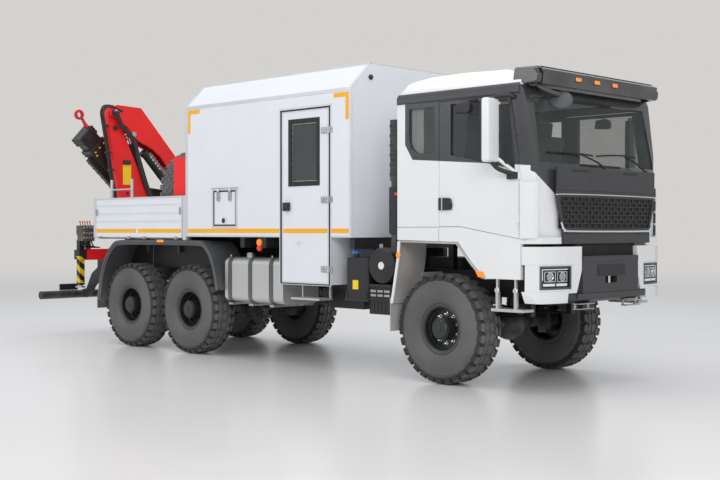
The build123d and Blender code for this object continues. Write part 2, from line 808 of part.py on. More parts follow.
def cab_shell(body, cavity):
    shell = body - cavity
    side_cut = body_half_width + 20
    for cut_y in ((-side_cut, -body_half_width + cab_skin + 5), (body_half_width - cab_skin - 5, side_cut)):
        shell = shell - plate_y(cab_door_outline(0), *cut_y)
        shell = shell - plate_y(rear_window_outline(), *cut_y)
    shell = shell - plate_x(windscreen_outline(), 4500, cab_nose_x + 30)
    inner = body_half_width - cab_skin
    under = block(cab_rear_x - 10, cab_nose_x - 60, -inner, inner, 1100, cab_floor_z - cab_skin)
    return shell - under


def cab_glass(pane_band):
    """Windscreen and the two fixed side panes, seated in their openings."""
    panes = [pane_band & plate_x(windscreen_outline(), 4500, cab_nose_x + 30)]
    side_cut = body_half_width + 20
    for cut_y in ((-side_cut, -1100), (1100, side_cut)):
        panes.append(pane_band & plate_y(rear_window_outline(), *cut_y))
    return panes


def cab_door(body, side):
    """Door with its window opening, cut from the cab's own skin."""
    inner = -body_half_width + cab_skin
    leaf = body & plate_y(cab_door_outline(door_gap), -body_half_width - 10, inner)
    leaf = leaf - plate_y(door_window_outline(), -body_half_width - 10, inner + 10)
    leaf = leaf - plate_y(cab_door_rebate(), -body_half_width + cab_door_lip, inner + 10)
    handle = block(3640, 3790, -body_half_width - 22, -body_half_width, 2010, 2050)
    return sides(fused([leaf, handle] + cab_hinges() + cab_mirror()), side)


def cab_hinges():
    """Two barrels just outside the skin, each on a cranked leaf."""
    solids = []
    for z in (1850, 2300):
        solids.append(bar_z(cab_hinge_x, cab_hinge_y, z - 45, z + 45, cab_hinge_radius))
        solids.append(block(cab_hinge_x - 46, cab_hinge_x, cab_hinge_y - 4, cab_hinge_y + 4, z - 45, z + 45))
        solids.append(block(cab_hinge_x - 46, cab_hinge_x - 18, cab_hinge_y, -body_half_width + 1,
                            z - 45, z + 45))
    return solids


def cab_door_glass(side):
    y = -body_half_width + 24
    return sides(plate_y(door_window_outline(), y - glass_thickness, y), side)


def cab_mirror():
    """Mirror housing on two arms from the door's front edge."""
    housing = fillet(block(4400, 4510, -1540, -1330, 2440, 3110).edges(), 35)
    upper = rod((4560, -1250, 3060), (4460, -1350, 3060), 16)
    lower = rod((4655, -1250, 2330), (4490, -1350, 2480), 20)
    return [housing, upper, lower]


def cab_interior():
    """Dashboard, seats, rear bench and steering wheel, seen through the glass."""
    floor = cab_floor_z
    dash = plate_y([(4500, 1950), (4520, 2330), (4640, 2420), (4780, 2420), (4800, 1950)], -1080, 1080)
    column = rod((4520, 560, 2180), (4330, 560, 2330), 35)
    wheel = Pos(4320, 560, 2338) * Rot(0, -38, 0) * Torus(205, 17)
    spokes = [Pos(4320, 560, 2338) * Rot(0, -38, 0) * Box(40, 400, 20),
              Pos(4320, 560, 2338) * Rot(0, -38, 0) * Box(400, 40, 20)]
    legs = [block(4600, 4700, y - 60, y + 60, floor, 1950) for y in (-900, 900)]
    solids = [fused([dash, column, wheel] + spokes + legs)]
    for y in (-640, 640):
        cushion = fillet(block(3700, 4200, y - 260, y + 260, 2080, 2230).edges(), 40)
        pedestal = block(3780, 4120, y - 180, y + 180, floor, 2085)
        back = Pos(3700, y, 2560) * Rot(0, -8, 0) * fillet(Box(150, 500, 720).edges(), 40)
        solids.append(fused([cushion, pedestal, back]))
    bench = block(3022, 3420, -1100, 1100, floor, 2150)
    solids.append(bench)
    return solids


# Front end

def front_mask():
    """Dark panel between windscreen and bumper, with the opening for the grille."""
    nose = cab_nose_x
    panel = block(nose + seat_gap, nose + 26, -940, 940, 1583, 2395)
    hole = block(nose, nose + 30, -860, 860, 1730, 2090)
    return panel - hole


def grille():
    """Honeycomb of hexagonal bars in a frame."""
    nose = cab_nose_x
    across = 92
    bar = 13
    y_half = 860
    z0 = 1730
    z1 = 2090
    rows = 5
    pitch = (z1 - z0) / rows
    sheet = block(nose + 2, nose + 20, -y_half, y_half, z0, z1)
    cells = []
    count = int(y_half / across)
    for row in range(rows):
        for column in range(-count, count + 1):
            shift = across / 2 if row % 2 else 0
            y = column * across + shift
            if abs(y) + across / 2 > y_half:
                continue
            z = z0 + pitch * (row + 0.5)
            hexagon = Plane(origin=(nose, y, z), x_dir=(0, 0, 1), z_dir=(1, 0, 0)) * \
                RegularPolygon((across - bar) / 2, 6)
            cells.append(extrude(hexagon, amount=30))
    return sheet.cut(*cells)


def lower_grille():
    nose = cab_nose_x
    panel = block(nose - 60, nose - 40, -640, 640, 1440, 1583 - seat_gap)
    slots = []
    for row in range(3):
        for column in range(-11, 12):
            y = column * 54 + (27 if row % 2 else 0)
            z = 1465 + row * 42
            slots.append(block(nose - 70, nose - 30, y - 20, y + 20, z - 13, z + 13))
    return panel.cut(*slots)


def bumper_plan(depth):
    """Plan of the bumper's skin between its two rounded corners."""
    return [(4724, -1250), (4830, -1232), (4925, -1150), (4975, -950), (5010, -555.3),
            (5010 - depth, -555.3), (4970 - depth, -930), (4925 - depth, -1100), (4724, -1250 + depth)]


def bumper_corner(side):
    skin = plate_z(bumper_plan(60), 960, 1555)
    lamp = block(4700, 5060, -1300, -700, 1085, 1365)
    shape = plate_x([(-1250, 1080), (-1250, 1555), (-555, 1555), (-555, 1300), (-640, 1060), (-775, 1060),
                     (-790, 960), (-1190, 960)], 4600, 5100)
    return sides((skin & shape) - lamp, side)


def bumper_centre():
    """Dark lower beam with the blank plate holder, tow recess and skid."""
    upper = block(4940, 5022, -555, 555, 1052, 1555)
    skid = plate_y([(4940, 950), (5005, 980), (5030, 1052), (4940, 1052)], -765, 765)
    plate = block(5022, 5030, -270, 270, 1230, 1345)
    recess = block(5000, 5040, -70, 70, 1165, 1215)
    carrier = [block(4560, 4940, side * 352 if side > 0 else -432, 432 if side > 0 else -352, 1000, 1200)
               for side in (-1, 1)]
    tow = bar_z(4985, 0, 940, 1090, tow_eye_radius)
    return fused([upper, skid, plate] + carrier) - recess - tow


def headlamps():
    ring = plate_z([(4760, -1238), (4830, -1226), (4918, -1145), (4966, -948), (4992, -700.3),
                    (4930, -700.3), (4860, -1060), (4760, -1150)], 1085.3, 1364.7)
    return pair(ring)


def bumper_carrier():
    """Tubes that carry the bumper corners and the lamps off the frame."""
    solids = []
    for side in (-1, 1):
        beam = block(4780, 4840, -1060, -rail_outer_y, 1400, 1500)
        riser = block(4500, 4840, -rail_outer_y - 60, -rail_outer_y, 1100, 1500)
        solids.append(sides(beam + riser, side))
    return solids


def cab_trim():
    """Sun visor, snorkel and the box behind the cab."""
    visor = plate_y([(4540, 3415.3), (4560, 3450), (4860, 3440), (4925, 3400), (4905, 3250), (4775, 3262),
                     (4665, 3392), (4640, 3392)], -1130, 1130)
    snorkel = fillet(block(2780, 2900, -1190, -1030, 2300, 3010).edges().filter_by(Axis.Z), 30)
    duct = block(2800, 2880, -1170, -1060, 1480, 2300)
    stay = block(2900, cab_rear_x, -1150, -1100, 2500, 2560)
    return [visor, fused([snorkel, duct, stay])]


def cab_guards():
    """Mudguard behind each front wheel, with its inner liner over the tyre."""
    outline = [(2862, 880), (2962, 1400), (2975, 1612), (3860, 1598), (4056, 1383), (4244, 1208),
               (4200, 1208), (4030, 1366), (3840, 1575), (3010, 1590), (2990, 1395), (2892, 880)]
    lip = plate_y(outline, -body_half_width + 2, -body_half_width + 12)
    liner = plate_y([(2872, 880), (2966, 1400), (2980, 1606), (3858, 1592), (4052, 1378), (4240, 1205),
                     (4234, 1199), (4044, 1370), (3850, 1584), (2990, 1598), (2975, 1398), (2882, 880)],
                    -body_half_width + 12, -760)
    stay = block(2900, 2960, -800, -rail_outer_y, 1180, 1230)
    return pair(fused([lip, liner, stay]))


def cab_mounts():
    """Stands between the frame and the cab's floor."""
    rear = [block(3040, 3120, side * 352 if side > 0 else -432, 432 if side > 0 else -352,
                  rail_top_z, cab_floor_z - cab_skin) for side in (-1, 1)]
    front = [block(4440, 4520, side * 352 if side > 0 else -432, 432 if side > 0 else -352,
                   rail_top_z, cab_floor_z - cab_skin) for side in (-1, 1)]
    return rear + front


# Crane

def crane_base():
    """Cross housing on the frame, slewing base and the stabiliser beam's box."""
    half = 1050
    wall = housing_wall
    size = beam_size / 2 + wall + slide_gap
    z = beam_z()
    housing = block(slew_x - size, slew_x + size, -half, half, z - size, z + size)
    hole = block(slew_x - size + wall, slew_x + size - wall, -half - 1, half + 1, z - size + wall,
                 z + size - wall)
    base = bar_z(slew_x, 0, z + size, column_foot_z - 20, column_foot_radius - 15)
    ring = bar_z(slew_x, 0, column_foot_z - 20, column_foot_z - seat_gap, column_foot_radius)
    pad = block(slew_x - 260, slew_x + 260, -rail_outer_y, rail_outer_y, z + size - wall, z + size + 12)
    feet = [block(slew_x - 240, slew_x - size, -rail_outer_y, rail_outer_y, rail_top_z, z + size - wall),
            block(slew_x + size, slew_x + 240, -rail_outer_y, rail_outer_y, rail_top_z, z + size - wall)]
    return fused([housing - hole, base, ring, pad] + feet)


def valve_block():
    """Control valves with their levers on a bracket at the right end of the housing."""
    body = block(slew_x - 20, slew_x + 150, -1180, -960, 1655, 1800)
    caps = [bar_x(slew_x + 150, slew_x + 200, -1150 + i * 44, 1730, 16) for i in range(5)]
    levers = [rod((slew_x + 65, -1150 + i * 44, 1800), (slew_x + 40, -1150 + i * 44, 1858), 7)
              for i in range(5)]
    housing_top = beam_z() + beam_size / 2 + slide_gap + housing_wall
    bracket = block(slew_x + 20, slew_x + 70, -1045, -975, housing_top, 1655 - seat_gap)
    return [fused([body] + caps + levers), bracket]


def beam_z():
    return rail_top_z + beam_size / 2 + housing_wall + slide_gap


def stabiliser_beam(side):
    """Sliding beam in the housing, with the jack's square tube in its collar."""
    z = beam_z()
    half = beam_size / 2
    beam = block(slew_x - half, slew_x + half, -1060, -30, z - half, z + half)
    collar = block(slew_x - half, slew_x + half, -leg_y - 70, -1060, z - half, z + half)
    tube = block(slew_x - leg_width / 2, slew_x + leg_width / 2, -leg_y - leg_width / 2,
                 -leg_y + leg_width / 2, leg_foot_z + 40, leg_top_z)
    bore = bar_z(slew_x, -leg_y, leg_foot_z + 30, leg_top_z - 20, jack_radius + slide_gap)
    return sides(fused([beam, collar, tube]) - bore, side)


def stabiliser_leg(side):
    """Jack's rod in its tube, with the round foot."""
    leg = bar_z(slew_x, -leg_y, leg_foot_z + 22, leg_top_z - 30, jack_radius)
    foot = bar_z(slew_x, -leg_y, leg_foot_z, leg_foot_z + 22, 80)
    return sides(leg + foot, side)


def mast():
    """Leaning column: a tapered box on a round foot, with the head's pin."""
    half = mast_thickness / 2
    outline = [(-250, column_foot_z + 60), (-420, 2240), (-640, 3300), (-665, 3600), (-620, 3690),
               (-520, 3710), (-455, 3650), (-440, 3480), (-244, 3043), (150, 2240), (290, 1900),
               (290, column_foot_z + 60)]
    column = plate_x(outline, slew_x - half, slew_x + half)
    foot = bar_z(slew_x, 0, column_foot_z, column_foot_z + 90, column_foot_radius)
    pin = bar_x(slew_x - half - boom_gap - boom_plate - 10, slew_x + half + boom_gap + boom_plate + 10,
                head_y, head_z, 42)
    ear = plate_x([(150, 1990), (120, 2240), (260, 2175), (325, 2130), (325, 2040), (290, 1990)],
                  slew_x - half, slew_x + half)
    slot = plate_x([(120, 1990), (120, 2210), (-60, 2600), (60, 2700), (340, 2240), (340, 2000)],
                   slew_x - 76, slew_x + 76)
    return fused([column, foot, pin, ear]) - slot


def inner_boom():
    """Hump-backed boom: two side plates that straddle the head, closed by a back and a belly plate."""
    outline = [(-650, 3560), (-640, 3690), (-520, 3745), (-68, 3726), (634, 2952), (980, 2420),
               (950, 2270), (800, 2220), (470, 2777), (330, 2950), (180, 3065), (-20, 3150),
               (-185, 3225), (-330, 3400), (-480, 3500)]
    half = mast_thickness / 2 + boom_gap
    plates = [plate_x(outline, slew_x - half - boom_plate, slew_x - half),
              plate_x(outline, slew_x + half, slew_x + half + boom_plate)]
    back = plate_x([(-440, 3741), (-68, 3726), (634, 2952), (980, 2420), (950, 2400), (610, 2925),
                    (-82, 3692), (-440, 3708)], slew_x - half, slew_x + half)
    belly = plate_x([(480, 2790), (490, 2742), (810, 2222), (950, 2270), (960, 2330), (850, 2290)],
                    slew_x - half, slew_x + half)
    hole = bar_x(slew_x - 300, slew_x + 300, head_y, head_z, 42.05)
    elbow_hole = bar_x(slew_x - 300, slew_x + 300, elbow_y, elbow_z, 45.05)
    lug = [plate_x([(-260, 3230), (-300, 3340), (-225, 3360), (-150, 3240)], slew_x - half, slew_x - 40),
           plate_x([(-260, 3230), (-300, 3340), (-225, 3360), (-150, 3240)], slew_x + 40, slew_x + half)]
    return fused(plates + [back, belly] + lug) - hole - elbow_hole


def pack_plane():
    """Middle plane of the outer boom, behind the column and the inner boom."""
    half = mast_thickness / 2 + boom_gap + boom_plate
    return slew_x - half - pack_gap - pack_width / 2


def pack_point(along, across):
    """Point (y, z) on the folded outer boom, along from the elbow and across from its axis."""
    turn = radians(pack_angle)
    y = elbow_y + cos(turn) * along + cos(turn + radians(90)) * (pack_offset + across)
    z = elbow_z + sin(turn) * along + sin(turn + radians(90)) * (pack_offset + across)
    return y, z


def pack_box(along0, along1, width, height, shift=0):
    corners = [(along0, shift - height / 2), (along1, shift - height / 2),
               (along1, shift + height / 2), (along0, shift + height / 2)]
    middle = pack_plane()
    return plate_x([pack_point(*corner) for corner in corners], middle - width / 2, middle + width / 2)


def outer_boom():
    """First section of the folding arm with its gooseneck and elbow pin."""
    length = pack_length - 260
    tube = pack_box(pack_foot, length, pack_width, pack_height)
    bore = pack_box(pack_foot + 60, length + 1, pack_width - 2 * stage_wall, pack_height - 2 * stage_wall)
    collar = pack_box(length - 70, length, pack_width + 24, pack_height + 24)
    collar_bore = pack_box(length - 71, length + 1, pack_width - 2 * stage_wall, pack_height - 2 * stage_wall)
    middle = pack_plane()
    neck_line = [pack_point(pack_foot, -pack_height / 2), pack_point(520, -pack_height / 2),
                 (elbow_y - 95, elbow_z + 60), (elbow_y, elbow_z + 110), (elbow_y + 105, elbow_z),
                 (elbow_y + 60, elbow_z - 110)]
    neck = plate_x(neck_line, middle - 60, middle + 60)
    pin = bar_x(middle, slew_x + mast_thickness / 2 + boom_gap + boom_plate + 6, elbow_y, elbow_z, 45)
    cylinder = pack_box(200, length - 120, 90, 90, pack_height / 2 + 45)
    return fused([tube - bore, collar - collar_bore, neck, pin, cylinder])


def lifting_eye():
    """Middle (y, z) of the eye at the arm's tip."""
    return pack_point(pack_length + 230, -180)


def extension():
    """Inner telescopic section with its end head and the lifting eye."""
    width = pack_width - 2 * stage_wall - 2 * slide_gap
    height = pack_height - 2 * stage_wall - 2 * slide_gap
    tube = pack_box(pack_foot + 90, pack_length, width, height)
    bore = pack_box(pack_foot + 89, pack_length - 40, width - 24, height - 24)
    cheek = pack_box(pack_length - 150, pack_length, width + 40, height + 34)
    y0, z0 = pack_point(pack_length - 60, -height / 2)
    y1, z1 = lifting_eye()
    stem = rod((pack_plane(), y0, z0), (pack_plane(), y1, z1), 22)
    half = lifting_eye_width / 2
    ring = bar_x(pack_plane() - half, pack_plane() + half, y1, z1, lifting_eye_outer)
    hole = bar_x(pack_plane() - half - 20, pack_plane() + half + 20, y1, z1, lifting_eye_radius)
    return fused([tube - bore, cheek, stem, ring]) - hole


def lift_line(along):
    """Point (y, z) on the lift cylinder's line, along from its foot."""
    dy = lift_eye_y - lift_foot_y
    dz = lift_eye_z - lift_foot_z
    length = hypot(dy, dz)
    return lift_foot_y + dy * along / length, lift_foot_z + dz * along / length


def lift_length():
    return hypot(lift_eye_y - lift_foot_y, lift_eye_z - lift_foot_z)


def lift_rod_tube(start, end, radius):
    y0, z0 = lift_line(start)
    y1, z1 = lift_line(end)
    return rod((slew_x, y0, z0), (slew_x, y1, z1), radius)


def lift_barrel():
    tube = lift_rod_tube(120, lift_length() - 150, barrel_radius)
    bore = lift_rod_tube(130, lift_length() - 140, rod_radius + slide_gap)
    butt = lift_rod_tube(0, 121, barrel_radius * 0.8)
    foot = bar_x(slew_x - 75.5, slew_x + 75.5, lift_foot_y, lift_foot_z, 60)
    return fused([tube - bore, butt, foot])


def lift_rod():
    bar = lift_rod_tube(150, lift_length() - 30, rod_radius)
    eye = bar_x(slew_x - 32, slew_x + 32, lift_eye_y, lift_eye_z, 50)
    return bar + eye


def single_nodes():
    body = cab_body(0)
    cavity = cab_body(cab_skin)
    band = cab_body(14) - cab_body(14 + glass_thickness)
    nodes = {
        "frame": [frame()],
        "axles": axles(),
        "springs": springs(),
        "driveline": [engine()] + driveline(),
        "cab_shell": [cab_shell(body, cavity)],
        "cab_glass": cab_glass(band),
        "cab_interior": cab_interior(),
        "cab_trim": cab_trim(),
        "cab_guards": cab_guards() + front_flaps(),
        "front_mask": [front_mask()],
        "grille": [grille(), lower_grille()],
        "bumper_corners": [bumper_corner(-1), bumper_corner(1)],
        "bumper_centre": [bumper_centre()],
        "headlamps": headlamps(),
        "box_shell": [box_shell()],
        "box_trims": box_trims(),
        "porch": [porch()],
        "platform": [platform()],
        "rear_fenders": [rear_fender(-1), rear_fender(1)],
        "fuel_tank": [fuel_tank()],
        "tank_straps": tank_straps(),
        "side_gear": side_gear(),
        "spare_wheel": [spare_wheel()],
        "oil_tank": [oil_tank()],
        "steps": steps(),
        "crane_base": [crane_base()],
        "valve_block": valve_block(),
        "box_door": [box_door()],
        "box_window": [box_window()],
        "box_hatch": [box_hatch()],
        "mast": [mast()],
        "inner_boom": [inner_boom()],
        "outer_boom": [outer_boom()],
        "extension": [extension()],
        "lift_barrel": [lift_barrel()],
        "lift_rod": [lift_rod()],
    }
    for side, name in ((-1, "right"), (1, "left")):
        nodes[f"cab_door_{name}"] = [cab_door(body, side)]
        nodes[f"cab_door_glass_{name}"] = [cab_door_glass(side)]
        nodes[f"dropside_{name}"] = [dropside(side)]
        nodes[f"knuckle_{name}"] = [knuckle(side)]
        nodes[f"stabiliser_beam_{name}"] = [stabiliser_beam(side)]
        nodes[f"stabiliser_leg_{name}"] = [stabiliser_leg(side)]
    return nodes


def main():
    os.makedirs("parts", exist_ok=True)
    nodes = single_nodes()
    for name, solid in wheels().items():
        nodes[name] = [solid]
    for name, solids in nodes.items():
        shape = solids[0] if len(solids) == 1 else Compound(children=[s for s in solids])
        export_step(shape, f"parts/{name}.step")
    print(len(nodes), "nodes")


main()
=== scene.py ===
import json
import math

import bmesh
import bpy
from mathutils import Matrix, Vector

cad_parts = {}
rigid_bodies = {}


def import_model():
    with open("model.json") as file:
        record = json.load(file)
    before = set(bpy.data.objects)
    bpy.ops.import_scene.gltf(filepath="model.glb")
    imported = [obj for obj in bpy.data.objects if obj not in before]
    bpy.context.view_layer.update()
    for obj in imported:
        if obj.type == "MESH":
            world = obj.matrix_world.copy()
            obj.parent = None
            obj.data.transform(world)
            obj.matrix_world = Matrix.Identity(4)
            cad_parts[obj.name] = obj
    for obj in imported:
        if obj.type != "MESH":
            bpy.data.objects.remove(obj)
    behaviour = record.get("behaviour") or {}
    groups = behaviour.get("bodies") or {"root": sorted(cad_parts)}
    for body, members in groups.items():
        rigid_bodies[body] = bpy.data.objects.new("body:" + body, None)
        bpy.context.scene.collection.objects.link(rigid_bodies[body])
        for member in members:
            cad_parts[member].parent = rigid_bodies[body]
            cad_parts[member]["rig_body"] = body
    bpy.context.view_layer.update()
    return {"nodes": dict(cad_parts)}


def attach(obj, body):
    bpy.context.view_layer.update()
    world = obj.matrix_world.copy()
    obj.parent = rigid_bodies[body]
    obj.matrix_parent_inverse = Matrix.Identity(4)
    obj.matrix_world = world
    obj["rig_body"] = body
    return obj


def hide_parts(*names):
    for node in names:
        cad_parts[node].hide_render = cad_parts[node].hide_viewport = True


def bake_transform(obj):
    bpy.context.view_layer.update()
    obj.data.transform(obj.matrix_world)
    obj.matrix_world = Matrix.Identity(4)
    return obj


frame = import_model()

MM = 0.001
NODES = frame["nodes"]
SIDES = {"right": -1, "left": 1}


# Materials

class Look:
    """One material and the nodes that make it up."""

    def __init__(self, name):
        self.material = bpy.data.materials.new(name)
        self.material.use_nodes = True
        self.nodes = self.material.node_tree.nodes
        self.link = self.material.node_tree.links.new
        self.base = self.nodes["Principled BSDF"].inputs

    def node(self, kind):
        return self.nodes.new("ShaderNode" + kind)

    def noise(self, scale, detail):
        """Noise that is fixed to the object."""
        node = self.node("TexNoise")
        node.inputs["Scale"].default_value = scale
        node.inputs["Detail"].default_value = detail
        self.link(self.node("TexCoord").outputs["Object"], node.inputs["Vector"])
        return node.outputs["Fac"]

    def remap(self, value, low, high, out_low, out_high):
        node = self.node("MapRange")
        node.interpolation_type = "SMOOTHSTEP"
        ends = {"From Min": low, "From Max": high, "To Min": out_low, "To Max": out_high}
        for key, number in ends.items():
            node.inputs[key].default_value = number
        self.link(value, node.inputs["Value"])
        return node.outputs["Result"]

    def clouds(self, scale, detail):
        """Noise whose middle part is spread over 0 to 1."""
        return self.remap(self.noise(scale, detail), 0.3, 0.7, 0, 1)

    def mix(self, factor, first, second):
        """First colour where factor is 0, second where it is 1. Each is a colour or a socket."""
        node = self.node("Mix")
        node.data_type = "RGBA"
        self.link(factor, node.inputs["Factor"])
        for socket, colour in ((node.inputs[6], first), (node.inputs[7], second)):
            if isinstance(colour, (tuple, list)):
                socket.default_value = (*colour, 1)
            else:
                self.link(colour, socket)
        return node.outputs[2]

    def math(self, operation, first, second=0):
        """Each value is a number or a socket."""
        node = self.node("Math")
        node.operation = operation
        for socket, value in zip(node.inputs, (first, second)):
            if isinstance(value, (int, float)):
                socket.default_value = value
            else:
                self.link(value, socket)
        return node.outputs["Value"]

    def axes(self):
        """The object's X, Y and Z."""
        node = self.node("SeparateXYZ")
        self.link(self.node("TexCoord").outputs["Object"], node.inputs["Vector"])
        return node.outputs

    def finish(self, colour, rough, rough_spread, bump_scale, bump_depth):
        self.link(colour, self.base["Base Color"])
        self.link(self.remap(self.noise(38, 3), 0.3, 0.7, rough - rough_spread, rough + rough_spread),
                  self.base["Roughness"])
        if bump_depth:
            bump = self.node("Bump")
            bump.inputs["Distance"].default_value = bump_depth
            bump.inputs["Strength"].default_value = 0.5
            self.link(self.noise(bump_scale, 5), bump.inputs["Height"])
            self.link(bump.outputs["Normal"], self.base["Normal"])
        return self.material


def shade(colour, factor):
    return tuple(min(1.0, part * factor) for part in colour)


def surface(name, colour, rough=0.35, metal=0.0, coat=0.0, spread=0.05, rough_spread=0.04,
            bump_scale=260, bump_depth=0.0004, dust_top=0):
    """Paint, metal or plastic with slow colour drift, fine bump and dust that thins out up to dust_top."""
    look = Look(name)
    look.base["Metallic"].default_value = metal
    look.base["Coat Weight"].default_value = coat
    look.base["Coat Roughness"].default_value = 0.06
    out = look.mix(look.clouds(2.3, 5), shade(colour, 1 - spread), shade(colour, 1 + spread))
    if dust_top:
        low = look.remap(look.axes()[2], 0.3, dust_top, 0.55, 0.0)
        speck = look.remap(look.noise(9, 6), 0.35, 0.7, 0.2, 1)
        out = look.mix(look.math("MULTIPLY", low, speck), out, DUST)
    return look.finish(out, rough, rough_spread, bump_scale, bump_depth)


def clear(name, colour, alpha):
    """Tinted pane that shows what is behind it and still reflects."""
    look = Look(name)
    look.base["Alpha"].default_value = alpha
    look.base["IOR"].default_value = 1.7
    out = look.mix(look.clouds(1.4, 2), shade(colour, 0.94), shade(colour, 1.06))
    return look.finish(out, 0.042, 0.01, 0, 0)


def lamp_glow(name, colour, strength):
    look = Look(name)
    look.base["Emission Color"].default_value = (*colour, 1)
    look.base["Emission Strength"].default_value = strength
    look.base["Coat Weight"].default_value = 0.7
    out = look.mix(look.clouds(60, 2), shade(colour, 0.8), colour)
    return look.finish(out, 0.16, 0.04, 90, 0.0006)


def cab_paint():
    """White cab whose window band and screen surround are dark."""
    look = Look("cab_two_tone")
    m = look.math
    x, y, z = look.axes()
    across = m("ABSOLUTE", y)
    above_belt = m("GREATER_THAN", m("ADD", z, m("MULTIPLY", x, 0.0766)), 2.771)
    step_z = m("ADD", m("MULTIPLY", across, 0.95), 1.209)
    near_screen = m("MINIMUM", m("LESS_THAN", across, 1.2), m("GREATER_THAN", m("SUBTRACT", z, step_z), 0))
    in_front = m("MINIMUM", near_screen, m("GREATER_THAN", x, 4.6))
    behind_corner = m("MINIMUM", m("GREATER_THAN", x, 3.09),
                      m("GREATER_THAN", m("ADD", z, m("MULTIPLY", x, 1.545)), 7.474))
    below_roof = m("LESS_THAN", z, 3.25)
    off_mirror = m("MAXIMUM", m("LESS_THAN", across, 1.325), m("LESS_THAN", x, 4.43))
    zone = m("MINIMUM", m("MINIMUM", behind_corner, below_roof), m("MAXIMUM", above_belt, in_front))
    zone = m("MINIMUM", zone, off_mirror)
    drift = look.clouds(2.1, 4)
    white = look.mix(drift, (0.79, 0.80, 0.815), (0.81, 0.82, 0.83))
    dark = look.mix(drift, shade(DARK_GREY, 0.95), shade(DARK_GREY, 1.15))
    look.base["Coat Weight"].default_value = 0.45
    look.base["Coat Roughness"].default_value = 0.08
    return look.finish(look.mix(zone, white, dark), 0.3, 0.03, 4, 0.0006)


def hazard_paint():
    """Black and yellow slanting stripes along the jack's tube."""
    look = Look("hazard_stripes")
    m = look.math
    x, y, z = look.axes()
    run = m("ADD", z, m("MULTIPLY", m("ADD", x, y), 0.75))
    band = m("GREATER_THAN", m("FRACT", m("DIVIDE", run, 0.19)), 0.5)
    tube = m("LESS_THAN", m("ABSOLUTE", m("SUBTRACT", z, 1.11)), 0.21)
    grime = look.remap(look.noise(14, 5), 0.35, 0.75, 0, 0.35)
    yellow = look.mix(grime, (0.85, 0.52, 0.01), (0.30, 0.22, 0.08))
    out = look.mix(m("MULTIPLY", band, tube), (0.02, 0.02, 0.021), yellow)
    return look.finish(out, 0.4, 0.05, 160, 0.0004)


